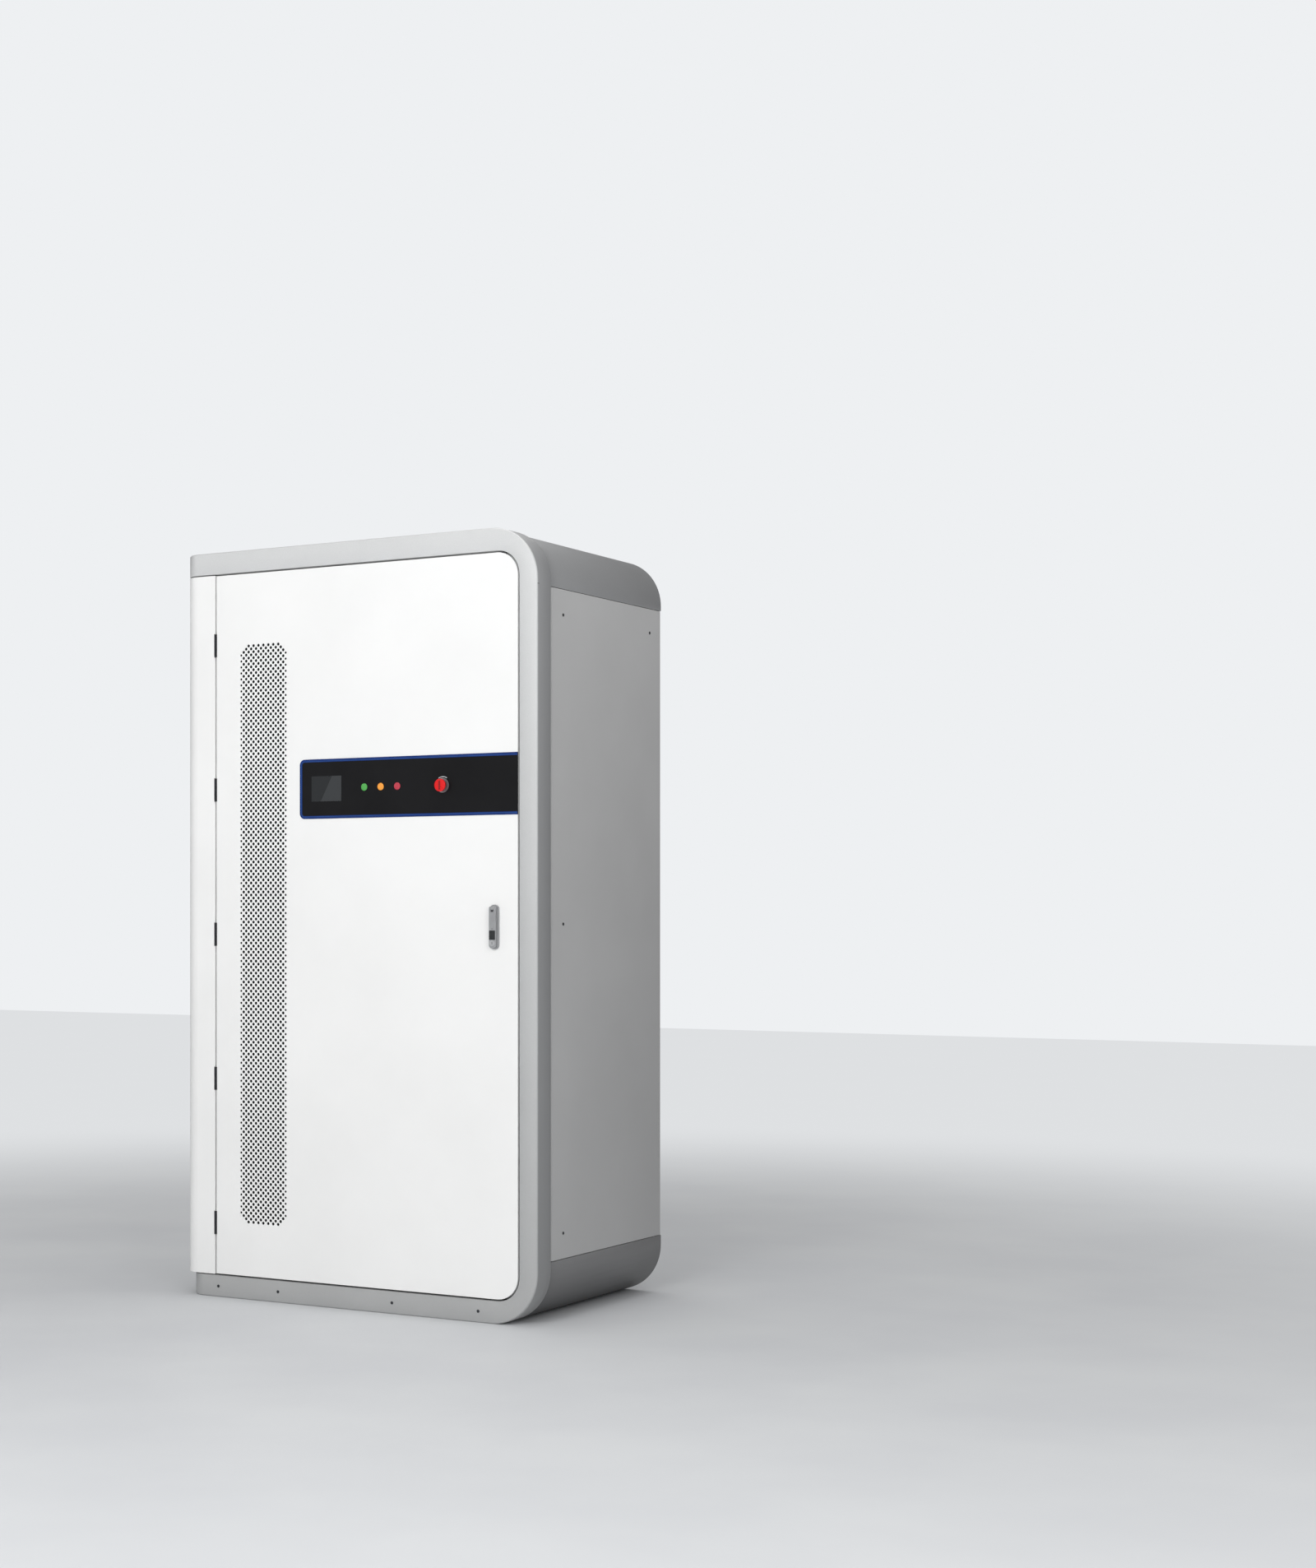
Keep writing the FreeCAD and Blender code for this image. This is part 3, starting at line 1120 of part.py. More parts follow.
def pinionShape():
    """Stub involute teeth, thinned by half the backlash."""
    module, teeth = number("gear_module"), int(number("gear_teeth"))
    pitch = module * teeth / 2
    base_radius = pitch * math.cos(math.radians(20))
    root, outer = pitch - 1.1 * module, pitch + 0.8 * module
    roll = math.sqrt((pitch / base_radius) ** 2 - 1)
    half = math.pi / (2 * teeth) - number("gear_backlash") / 4 / pitch + roll - math.atan(roll)
    start = max(base_radius, root)
    radii = [start + (outer - start) * k / 2 for k in range(3)]
    points = []
    for tooth in range(teeth):
        middle = 2 * math.pi * tooth / teeth
        flank = [involute(base_radius, radius, -half) for radius in radii]
        flank = [(root * math.cos(-half), root * math.sin(-half))] + flank
        flank += [(x, -z) for x, z in reversed(flank)]
        for x, z in flank:
            points.append(V(number(lock_x) + x * math.cos(middle) - z * math.sin(middle), number(gear_y[0]),
                            number("lock_height") + x * math.sin(middle) + z * math.cos(middle)))
    points.append(points[0])
    return Part.Face(Part.makePolygon(points)).extrude(V(0, number("gear_width"), 0))


pinion = doc.addObject("Part::Feature", "Pinion")
pinion.Shape = pinionShape()
spindle = block("Spindle", (f"{lock_x} - spindle_size / 2", f"{lock_x} + spindle_size / 2"), (front, case_back),
                ("lock_height - spindle_size / 2", "lock_height + spindle_size / 2"))
flange = shaft("HubFlange", "Y", "hub_radius", lock_x, (plate_front, skin_back), "lock_height")
tongue_x = (f"{lock_x} - lever_slot / 2 + lever_clearance", f"{lock_x} + lever_slot / 2 - lever_clearance")
tongue = shaft("Tongue", "X", "lever_thickness / 2", tongue_x, pin_y, "lock_height")
neck = block("TongueNeck", tongue_x, (pin_y, f"{plate_front} + 1"),
             ("lock_height - lever_thickness / 2", "lock_height + lever_thickness / 2"))
pin_hole = shaft("PinHole", "X", "lever_pin + running_fit",
                 (f"{tongue_x[0]} - 1", f"{tongue_x[1]} + 1"), pin_y, "lock_height")
keep("handle_hub", without("HandleHub", joined("HubPieces", [spindle, flange, tongue, neck, pinion]), pin_hole))

pin = shaft("LeverPin", "X", "lever_pin", (f"{lock_x} - {half_lever} + 1", f"{lock_x} + {half_lever} - 1"), pin_y, "lock_height")
keep("lever_pin", pin)

lever = body("lever")
lever_top = "(lock_height + lever_thickness / 2)"
pad(lever, "Lever", "XZ", [[
    (f"{lock_x} - {half_lever}", lever_low, f"{half_lever} - 0.5"), (f"{lock_x} + {half_lever}", lever_low, f"{half_lever} - 0.5"),
    (f"{lock_x} + {half_lever}", lever_top), (f"{lock_x} - {half_lever}", lever_top)]], lever_front, lever_back)
dressed(lever, "PivotEnd", "Fillet", "lever_thickness / 2 - 0.05", lambda p, edge: (
    near(p.z, number(lever_top)) and edge.Length > number(half_lever) * 1.5))
pocket(lever, "Fork", "XZ", [rect(
    f"{lock_x} - lever_slot / 2", f"{lock_x} + lever_slot / 2", "lock_height - lever_thickness / 2 - fork_gap",
    f"{lever_top} + 1")], f"{lever_front} - 1", f"{lever_back} + 1")
pocket(lever, "PinBore", "YZ", [disc(pin_y, "lock_height", "lever_pin")],
       f"{lock_x} - {half_lever} + 1", f"{lock_x} + {half_lever} - 1")
pocket(lever, "KeyBore", "XZ", [disc(lock_x, "lock_height - key_height", "key_radius + running_fit")],
       lever_front, lever_back)
well_floor = f"({lever_back} - sheet_metal)"
button_z = ("(lock_height - button_height - button_size / 2)", "(lock_height - button_height + button_size / 2)")
pocket(lever, "ButtonWell", "XZ", [rect(
    f"{lock_x} - button_width / 2 - lever_clearance", f"{lock_x} + button_width / 2 + lever_clearance",
    f"{button_z[0]} - lever_clearance", f"{button_z[1]} + lever_clearance")], lever_front, well_floor)

button = body("release_button")
pad(button, "Button", "XZ", [rect(f"{lock_x} - button_width / 2", f"{lock_x} + button_width / 2", *button_z)],
    lever_front, f"{well_floor} - lever_clearance - button_travel")

barrel = body("key_cylinder")
key_z = "(lock_height - key_height)"
key_front = f"({lever_front} - key_proud)"
pad(barrel, "Barrel", "XZ", [disc(lock_x, key_z, "key_radius")], key_front, f"{lever_back} - lever_clearance")
pocket(barrel, "KeySlot", "XZ", [rect(
    f"{lock_x} - key_slot_width / 2", f"{lock_x} + key_slot_width / 2", f"{key_z} - key_slot_length / 2",
    f"{key_z} + key_slot_length / 2")], key_front, f"{key_front} + key_slot_depth")

# Lock rods: racks on both sides of the pinion, drawn in as the handle turns

stroke = f"({pitch_radius} * pi / 2)"
rack_root = f"({pitch_radius} + gear_module * 1.1)"
rod_out = f"({rack_root} + rod_width)"
rod_places = {
    "upper": (f"({lock_x} + {rack_root})", f"({lock_x} + {rod_out})"),
    "lower": (f"({lock_x} - {rod_out})", f"({lock_x} - {rack_root})"),
}
rack_reach = "(gear_module * pi * 2.5)"
rod_spans = {
    "upper": (f"(lock_height - {rack_reach})", f"({inner_top} - rod_tip_gap)"),
    "lower": (f"({inner_low} + rod_tip_gap)", f"(lock_height + {rack_reach})"),
}


def rackTeeth(side, span):
    """Teeth of one rack, pitched from a gap that faces a tooth of the pinion."""
    module = number("gear_module")
    pitch = math.pi * module
    slope = math.tan(math.radians(20))
    root = number(rack_root)
    centre_x, centre_z = number(lock_x), number("lock_height")
    half_pitch = pitch / 4 - number("gear_backlash") / 4
    tip = number(pitch_radius) - 0.8 * module
    half_root = half_pitch + 1.1 * module * slope
    half_tip = half_pitch - 0.8 * module * slope
    phase = 0.5 if int(number("gear_teeth")) % 2 == 0 or side > 0 else 0
    low, high = number(span[0]), number(span[1])
    teeth = []
    for index in range(-12, 24):
        z = centre_z + (index + phase) * pitch
        if z - half_root < low or z + half_root > high or abs(z - centre_z) > number(rack_reach) + number(stroke):
            continue
        shape = [(root + 0.5, z - half_root), (root, z - half_root), (tip, z - half_tip), (tip, z + half_tip),
                 (root, z + half_root), (root + 0.5, z + half_root)]
        points = [V(centre_x + side * x, number(rod_y[0]), spot) for x, spot in shape]
        teeth.append(Part.Face(Part.makePolygon(points + points[:1])).extrude(V(0, number("rod_thickness"), 0)))
    return Part.makeCompound(teeth)


for name, side in (("upper", 1), ("lower", -1)):
    strip_of_teeth = doc.addObject("Part::Feature", f"RackTeeth_{name}")
    strip_of_teeth.Shape = rackTeeth(side, rod_spans[name])
    rod = block(f"Rod_{name}", rod_places[name], rod_y, rod_spans[name])
    keep(f"{name}_rod", joined(f"RodWithRack_{name}", [rod, strip_of_teeth]))
    hole_z = {"upper": (f"{door_top} - rod_hole_depth", door_top),
              "lower": (door_low, f"{door_low} + rod_hole_depth")}[name]
    frame_z = {"upper": (f"{inner_top} - rod_hole_depth", f"{inner_top} + frame_wall"),
               "lower": (f"{inner_low} - frame_wall", inner_low)}[name]
    hole = [rect(f"{rod_places[name][0]} - rod_clearance", f"{rod_places[name][1]} + rod_clearance",
                 f"{rod_y[0]} - rod_clearance", f"{rod_y[1]} + rod_clearance")]
    pocket(skin, f"RodHole_{name}", "XY", hole, *hole_z)
    pocket(frame, f"RodKeeper_{name}", "XY", hole, *frame_z)

case = body("lock_gearbox")
case_z = ("(lock_height - lock_case_height / 2)", "(lock_height + lock_case_height / 2)")
case_x = (f"({lock_x} - {rod_out} - lock_case_wall)", f"({lock_x} + {rod_out} + lock_case_wall)")
pad(case, "Case", "XZ", [rect(*case_x, *case_z)], skin_back, case_back)
pocket(case, "Way", "XY", [rect(
    f"{lock_x} - {rod_out} - rod_clearance", f"{lock_x} + {rod_out} + rod_clearance", f"{gear_y[0]} - rod_clearance",
    f"{gear_y[1]} + rod_clearance")], *case_z)
pocket(case, "SpindleBore", "XZ", [disc(lock_x, "lock_height", "spindle_size * 0.71 + rod_clearance")], skin_back, case_back)

guide = body("rod_guides")
guide_spots = [("upper", "lock_height + guide_step"), ("upper", f"{inner_top} - guide_end"),
               ("lower", "lock_height - guide_step"), ("lower", f"{inner_low} + guide_end")]
for index, (name, z) in enumerate(guide_spots, 1):
    x0, x1 = rod_places[name]
    pad(guide, f"Guide{index}", "XY", [
        rect(f"{x0} - guide_wall", f"{x1} + guide_wall", skin_back, f"{rod_y[1]} + guide_wall"),
        rect(f"{x0} - rod_clearance", f"{x1} + rod_clearance", f"{rod_y[0]} - rod_clearance", f"{rod_y[1]} + rod_clearance")],
        f"{z} - guide_height / 2", f"{z} + guide_height / 2")

# Screws of the side panel and the plinth, with six-sided heads

def screwHead(name, way, x, y, z):
    made = doc.addObject("Part::Prism", name)
    made.Polygon = 6
    made.Placement = FreeCAD.Placement(V(), FreeCAD.Rotation(V(0, 0, 1), way))
    made.setExpression("Circumradius", bound("screw_head"))
    made.setExpression("Height", bound("screw_rise"))
    for axis, place in zip("xyz", (x, y, z)):
        made.setExpression(f"Placement.Base.{axis}", bound(place))
    return made


side_rows = (f"({side_z[0]} + screw_margin)", f"(({side_z[0]} + {side_z[1]}) / 2)", f"({side_z[1]} - screw_margin)")
screws = []
for row, z in enumerate(side_rows, 1):
    screws.append(screwHead(f"SideFrontScrew{row}", V(1, 0, 0), body_right, f"{side_y[0]} + screw_margin", z))
screws.append(screwHead("SideRearScrew", V(1, 0, 0), body_right, f"{side_y[1]} - screw_margin", side_rows[2]))
plinth_places = (f"{plinth_left} + plinth_screw_end", f"{plinth_left} + plinth_screw_inner",
                 f"{right} - plinth_screw_middle", f"{right} - plinth_screw_corner")
for index, x in enumerate(plinth_places, 1):
    screws.append(screwHead(f"PlinthScrew{index}", V(0, -1, 0), x, front, f"{inner_low} / 2"))
keep("panel_screws", group("PanelScrews", screws))

doc.recompute()

# Checks before anything is written

for item in doc.Objects:
    if "Invalid" in item.State or "Error" in item.State:
        raise RuntimeError(f"{item.Label} did not build: {item.State}")
for feature, before in cuts:
    if before.Shape.Volume - feature.Shape.Volume < 0.01:
        raise RuntimeError(f"{feature.Label} took nothing away")
if len(parts) > 60:
    raise RuntimeError(f"{len(parts)} sub-parts are more than 60")
for name, item in parts.items():
    if item.Shape.isNull() or not item.Shape.isValid() or not item.Shape.Solids:
        raise RuntimeError(f"{name} has no sound shape")

os.makedirs("parts", exist_ok=True)
for name, item in parts.items():
    item.Shape.exportStep(f"parts/{name}.step")
print(f"{len(parts)} sub-parts written")
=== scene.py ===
import bpy
import bmesh
import math
from mathutils import Matrix, Vector


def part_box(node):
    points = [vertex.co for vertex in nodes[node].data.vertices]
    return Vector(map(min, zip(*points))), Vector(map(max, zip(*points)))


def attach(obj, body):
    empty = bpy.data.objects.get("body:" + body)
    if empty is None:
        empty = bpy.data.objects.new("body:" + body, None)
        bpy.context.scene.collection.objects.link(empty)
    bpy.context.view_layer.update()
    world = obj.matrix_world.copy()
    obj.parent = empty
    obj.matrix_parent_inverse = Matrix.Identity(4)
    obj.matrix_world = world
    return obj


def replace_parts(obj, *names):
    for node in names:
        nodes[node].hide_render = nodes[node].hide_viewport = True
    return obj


# every length is in metres, and every colour is sRGB hex
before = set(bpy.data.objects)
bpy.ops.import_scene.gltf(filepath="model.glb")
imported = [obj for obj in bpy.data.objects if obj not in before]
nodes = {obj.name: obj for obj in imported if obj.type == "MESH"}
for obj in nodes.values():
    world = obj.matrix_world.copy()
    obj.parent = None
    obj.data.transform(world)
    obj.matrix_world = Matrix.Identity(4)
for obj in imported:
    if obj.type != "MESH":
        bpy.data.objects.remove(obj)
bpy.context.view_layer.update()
print("frame loaded:", len(nodes), "nodes")


# Colours and shader nodes

patchLook = {"detail": 4, "contrast": (0.35, 0.65)}


def linear(hexColour):
    parts = [int(hexColour[i:i + 2], 16) / 255 for i in (1, 3, 5)]
    return [c / 12.92 if c <= 0.04045 else ((c + 0.055) / 1.055) ** 2.4 for c in parts] + [1]


# one node with its settings; an input takes a value or another node's output
def add(tree, kind, inputs=None, **settings):
    node = tree.nodes.new(kind)
    for name, value in settings.items():
        setattr(node, name, value)
    for key, value in (inputs or {}).items():
        socket = node.inputs[key]
        if isinstance(value, bpy.types.NodeSocket):
            tree.links.new(value, socket)
        else:
            socket.default_value = value
    return node


# an empty material, its tree and the object's own coordinates in metres
def startMaterial(name):
    material = bpy.data.materials.new(name)
    material.use_nodes = True
    tree = material.node_tree
    tree.nodes.clear()
    return material, tree, add(tree, "ShaderNodeTexCoord").outputs["Object"]


# the surface shader: roughness follows the patches, and a height gives the bump
def endMaterial(tree, look, inputs, patches=None, height=None, depth=0):
    if patches:
        smooth, dull = look["roughness"]
        sheen = add(tree, "ShaderNodeMapRange", {"Value": patches, "To Min": smooth, "To Max": dull})
        inputs["Roughness"] = sheen.outputs[0]
    if height:
        bump = add(tree, "ShaderNodeBump", {"Height": height, "Strength": look["bump"], "Distance": depth})
        inputs["Normal"] = bump.outputs[0]
    shader = add(tree, "ShaderNodeBsdfPrincipled", inputs)
    add(tree, "ShaderNodeOutputMaterial", {"Surface": shader.outputs[0]})


# two close colours mixed by a noise whose patches are size metres across
def tintedNoise(tree, where, colours, size):
    noise = add(tree, "ShaderNodeTexNoise", {"Vector": where, "Scale": 1 / size, "Detail": patchLook["detail"]})
    ramp = add(tree, "ShaderNodeValToRGB", {"Fac": noise.outputs[0]})
    for element, position, colour in zip(ramp.color_ramp.elements, patchLook["contrast"], colours):
        element.position = position
        element.color = linear(colour)
    return ramp.outputs[0], noise.outputs[0]


# Powder coat: polyester powder baked on steel, so a soft sheen over a fine orange peel
# peel and flake are sizes, flake coarser than real so that it shows; side is the painted shade tone of faces
# turned sideways, and low is the share of the tone left at the floor by a painted shade that darkens towards it

coatLook = {"patch": 0.35, "detail": 2, "peelDepth": 0.25, "turned": (0.55, 0.95), "glint": (0.96, 1.04), "lowTop": 1.9}
powderCoats = {
    # nearly white and even, so the door reads as one sheet
    "whitePowderCoat": {"colours": ("#f2f2f1", "#f6f6f5"), "roughness": (0.42, 0.5), "peel": 0.0022, "bump": 0.03,
                        "low": 0.91},
    # a fine metal flake gives the ring its dull silver glow, and its faces turned sideways get painted shade
    "silverPowderCoat": {"colours": ("#dcdddd", "#e2e3e3"), "roughness": (0.4, 0.48), "peel": 0.0018, "bump": 0.03,
                         "flake": 0.0009, "metallic": 0.3, "side": "#bfc0c1", "low": 0.57},
    # the same coat a tone darker, painted shade on the top cover
    "shadedSilverCoverCoat": {"colours": ("#b6b7b8", "#bbbcbd"), "roughness": (0.36, 0.44), "peel": 0.0018, "bump": 0.03,
                        "flake": 0.0009, "metallic": 0.35},
    # light grey without flake: side and rear panels look flat beside the ring
    "greyPowderCoat": {"colours": ("#c6c6c6", "#cbcbcb"), "roughness": (0.42, 0.5), "peel": 0.0022, "bump": 0.035,
                       "low": 0.79},
    # mid grey on the lower wrap, with painted shadow that nearly loses it at the floor
    "lowerGreyPowderCoat": {"colours": ("#868687", "#8c8c8d"), "roughness": (0.42, 0.5), "peel": 0.0022, "bump": 0.04,
                            "metallic": 0.25, "low": 0.3, "lowTop": 0.17},
    # textured black on the racks, which takes the shine away
    "blackPowderCoat": {"colours": ("#2a2c2e", "#303234"), "roughness": (0.5, 0.62), "peel": 0.0016, "bump": 0.07},
    # sprayed enamel on the packs: dark blue grey with a close grain
    "packEnamel": {"colours": ("#33373c", "#3a3e43"), "roughness": (0.42, 0.55), "peel": 0.0012, "bump": 0.08},
}


def powderCoat(name):
    look = powderCoats[name]
    material, tree, where = startMaterial(name)
    colour, patches = tintedNoise(tree, where, look["colours"], coatLook["patch"])
    if "side" in look:
        # painted shade: faces turned to the side are mixed towards the darker side tone, as if less lit
        normal = add(tree, "ShaderNodeTexCoord").outputs["Normal"]
        facing = add(tree, "ShaderNodeSeparateXYZ", {"Vector": normal})
        turned = add(tree, "ShaderNodeMath", {0: facing.outputs[0]}, operation="ABSOLUTE")
        near, far = coatLook["turned"]
        share = add(tree, "ShaderNodeMapRange", {"Value": turned.outputs[0], "From Min": near, "From Max": far})
        colour = add(tree, "ShaderNodeMix", {0: share.outputs[0], 6: colour, 7: linear(look["side"])},
                     data_type="RGBA").outputs[2]
    if "low" in look:
        # painted shade: a slow fall in tone towards the floor
        place = add(tree, "ShaderNodeSeparateXYZ", {"Vector": where})
        fall = add(tree, "ShaderNodeMapRange", {"Value": place.outputs[2], "To Min": look["low"],
                                                "From Max": look.get("lowTop", coatLook["lowTop"])})
        colour = add(tree, "ShaderNodeMix", {0: 1.0, 6: colour, 7: fall.outputs[0]},
                     data_type="RGBA", blend_type="MULTIPLY").outputs[2]
    if "flake" in look:
        flakes = add(tree, "ShaderNodeTexVoronoi", {"Vector": where, "Scale": 1 / look["flake"]})
        dim, bright = coatLook["glint"]
        glint = add(tree, "ShaderNodeMapRange", {"Value": flakes.outputs["Color"], "To Min": dim, "To Max": bright})
        colour = add(tree, "ShaderNodeMix", {0: 1.0, 6: colour, 7: glint.outputs[0]},
                     data_type="RGBA", blend_type="MULTIPLY").outputs[2]
    peel = add(tree, "ShaderNodeTexNoise", {"Vector": where, "Scale": 1 / look["peel"], "Detail": coatLook["detail"]})
    endMaterial(tree, look, {"Base Color": colour, "Metallic": look.get("metallic", 0)}, patches, peel.outputs[0],
                look["peel"] * coatLook["peelDepth"])
    return material


# Bare metals: plated, cast or turned, with fine marks that catch the light
# marks are counted along a millimetre in x, y and z, fewer than real so that they show

metalLook = {"detail": 3, "depth": 0.0004}
metals = {
    # bright zinc plate drawn along the sheet: cool grey with long soft streaks
    "zincPlatedSteel": {"colours": ("#a9adb0", "#c3c6c8"), "patch": 0.012, "roughness": (0.3, 0.46),
                        "marks": (0.9, 0.04, 0.9), "bump": 0.05},
    # satin chromed casting: an even grey handle with no mirror in it
    "satinZincCasting": {"colours": ("#a6a7a9", "#adaeb0"), "patch": 0.03, "roughness": (0.46, 0.54),
                         "marks": (1.4, 1.4, 1.4), "bump": 0.03, "metallic": 0.55},
    # turned bar: the brightest and smoothest of the metals
    "turnedSteel": {"colours": ("#b5b7b9", "#c8cacb"), "patch": 0.004, "roughness": (0.18, 0.28),
                    "marks": (2.5, 2.5, 2.5), "bump": 0.03},
    # the casting left paler, so the lock stands out on its lever
    "paleZincCasting": {"colours": ("#b9babc", "#c1c2c4"), "patch": 0.03, "roughness": (0.46, 0.54),
                        "marks": (1.4, 1.4, 1.4), "bump": 0.03, "metallic": 0.45},
    # turned and satin plated ring: duller than the bar beside it
    "brightRing": {"colours": ("#9b9c9e", "#a6a7a9"), "patch": 0.01, "roughness": (0.35, 0.42),
                   "marks": (1.6, 1.6, 1.6), "bump": 0.02, "metallic": 0.7},
    # oiled black oxide on screws and hinges: dark, with a faint gleam
    "blackenedSteel": {"colours": ("#4b4d50", "#57595c"), "patch": 0.006, "roughness": (0.4, 0.55),
                       "marks": (0.9, 0.9, 0.12), "bump": 0.05},
    # zinc plate on the lock rods, rougher than the bright plate and painted darker with the shade of the seam they lie
    # in
    "seamShadeZincSteel": {"colours": ("#77797b", "#838587"), "patch": 0.012, "roughness": (0.5, 0.6),
                      "marks": (0.9, 0.9, 0.12), "bump": 0.05},
    # machined brass: warm yellow nuts on the orange links
    "brassBolt": {"colours": ("#c9a254", "#d9b668"), "patch": 0.003, "roughness": (0.25, 0.38),
                  "marks": (2.5, 2.5, 2.5), "bump": 0.03},
}


def bareMetal(name):
    look = metals[name]
    material, tree, where = startMaterial(name)
    colour, patches = tintedNoise(tree, where, look["colours"], look["patch"])
    stretched = add(tree, "ShaderNodeMapping", {"Vector": where, "Scale": [1000 * count for count in look["marks"]]})
    marks = add(tree, "ShaderNodeTexNoise", {"Vector": stretched.outputs[0], "Scale": 1, "Detail": metalLook["detail"]})
    endMaterial(tree, look, {"Base Color": colour, "Metallic": look.get("metallic", 1)}, patches, marks.outputs[0],
                metalLook["depth"])
    return material


# Plastics, rubber and printed film: an even tone with a fine haze
# grain is the size of the mould's spark-eroded texture, coarser than real so that it shows

plasticLook = {"patch": 0.04, "detail": 2, "depth": 0.0003}
printed = {"roughness": (0.45, 0.5), "grain": 0.0015, "bump": 0.01}
plastics = {
    # moulded nylon: black with a grey haze
    "blackNylon": {"colours": ("#1d1e20", "#232427"), "roughness": (0.45, 0.58), "grain": 0.0011, "bump": 0.08},
    # extruded EPDM seal: dark grey and dead matt
    "greySealRubber": {"colours": ("#3c3d3f", "#444547"), "roughness": (0.7, 0.82), "grain": 0.0015, "bump": 0.1},
    # nitrile rubber in the groove behind the ring, made near black so it also stands for painted shade in the groove:
    # the darkest line of the front
    "shadedNitrileRubber": {"colours": ("#141415", "#19191b"), "roughness": (0.7, 0.82), "grain": 0.0015, "bump": 0.1},
    # safety orange sleeve on the links, the one strong colour inside
    "orangeInsulation": {"colours": ("#d9621d", "#e26a22"), "roughness": (0.4, 0.5), "grain": 0.0012, "bump": 0.06},
    # ABS fronts of the packs, a step lighter than their enamel
    "packFrontPlastic": {"colours": ("#5a5f65", "#62676d"), "roughness": (0.45, 0.55), "grain": 0.0012, "bump": 0.06},
    # light grey polyamide of terminal covers
    "paleTerminalPlastic": {"colours": ("#c9cbcc", "#d2d4d5"), "roughness": (0.42, 0.5), "grain": 0.001, "bump": 0.05},
    # moulded urea: a deep glossy red
    "redUrea": {"colours": ("#d8090d", "#de0c10"), "roughness": (0.24, 0.32), "grain": 0.0012, "bump": 0.02},
    # the same urea in a darker red, painted shade on the grip so that it stands out
    "shadedRedUrea": {"colours": ("#8a0c10", "#920f13"), "roughness": (0.3, 0.38), "grain": 0.0012, "bump": 0.02},
    # ABS button with a fine grain
    "blackPushButton": {"colours": ("#232527", "#2b2d2f"), "roughness": (0.4, 0.5), "grain": 0.0008, "bump": 0.05},
    # screen-printed film: flat blue with little shine
    "blueFilmInk": {"colours": ("#16306b", "#1a3573"), "shine": 0.2, **printed},
    # its paler inner line
    "paleBlueFilmInk": {"colours": ("#2c4d8e", "#305293"), "shine": 0.2, **printed},
    # pale grey print of the arc over the stop button
    "paleFilmInk": {"colours": ("#a9acae", "#b4b7b9"), **printed},
    # clear green epoxy of the status lights
    "greenLed": {"colours": ("#2f9a3c", "#46b552"), "roughness": (0.2, 0.3), "grain": 0.0006, "bump": 0.02},
}


def mouldedPlastic(name):
    look = plastics[name]
    material, tree, where = startMaterial(name)
    colour, patches = tintedNoise(tree, where, look["colours"], plasticLook["patch"])
    grain = add(tree, "ShaderNodeTexNoise", {"Vector": where, "Scale": 1 / look["grain"],
                                             "Detail": plasticLook["detail"]})
    endMaterial(tree, look, {"Base Color": colour, "Specular IOR Level": look.get("shine", 0.5)}, patches,
                grain.outputs[0], plasticLook["depth"])
    return material


# Black acrylic: cast sheet with an anti-glare face, so it stays deep black with broad faint wipe marks

acrylicLook = {"colours": ("#121214", "#161618"), "wipe": 0.12, "roughness": (0.3, 0.4), "shine": 0.16}


def blackAcrylic():
    material, tree, where = startMaterial("blackAcrylic")
    colour, patches = tintedNoise(tree, where, acrylicLook["colours"], acrylicLook["wipe"])
    endMaterial(tree, acrylicLook, {"Base Color": colour, "Specular IOR Level": acrylicLook["shine"]}, patches)
    return material


# Display glass: float glass over a panel that is switched off; its two tones, split by a slanting line, are a painted
# reflection
# smears are counted to a metre, so each is 33 mm long

glassLook = {"slant": -28, "reflectionTones": ("#2a2c2e", "#3b3d3f"), "smears": 30, "detail": 2, "roughness": (0.25, 0.35),
             "shine": 0.2}


def displayGlass():
    material, tree, where = startMaterial("displayGlass")
    slant = math.radians(glassLook["slant"])
    turned = add(tree, "ShaderNodeMapping", {"Vector": where, "Rotation": (0, slant, 0)})
    split = add(tree, "ShaderNodeSeparateXYZ", {"Vector": turned.outputs[0]})
    low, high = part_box("screen")
    centre = Matrix.Rotation(slant, 3, "Y") @ ((low + high) / 2)
    # painted reflection: the glass is lighter on one side of the slanting line
    edge = add(tree, "ShaderNodeMath", {0: split.outputs[0], 1: centre.x}, operation="GREATER_THAN")
    dark, light = (linear(tone) for tone in glassLook["reflectionTones"])
    colour = add(tree, "ShaderNodeMix", {0: edge.outputs[0], 6: dark, 7: light}, data_type="RGBA")
    smears = add(tree, "ShaderNodeTexNoise", {"Vector": where, "Scale": glassLook["smears"],
                                              "Detail": glassLook["detail"]})
    endMaterial(tree, glassLook, {"Base Color": colour.outputs[2], "Specular IOR Level": glassLook["shine"]},
                smears.outputs[0])
    return material


# Lamp lens: moulded polycarbonate over a dim lamp, with fine ribs in rings, so the colour glows a little
# at a scale of 260 the wave's rings lie 1.2 mm apart

lensLook = {"rings": 260, "glow": 0.12, "roughness": 0.22, "coat": 0.5, "bump": 0.1, "depth": 0.0003}
lenses = {"greenLens": ("#3f9440", "#4da84a"), "amberLens": ("#e08a24", "#f0a038"), "redLens": ("#a8283a", "#bb3244")}


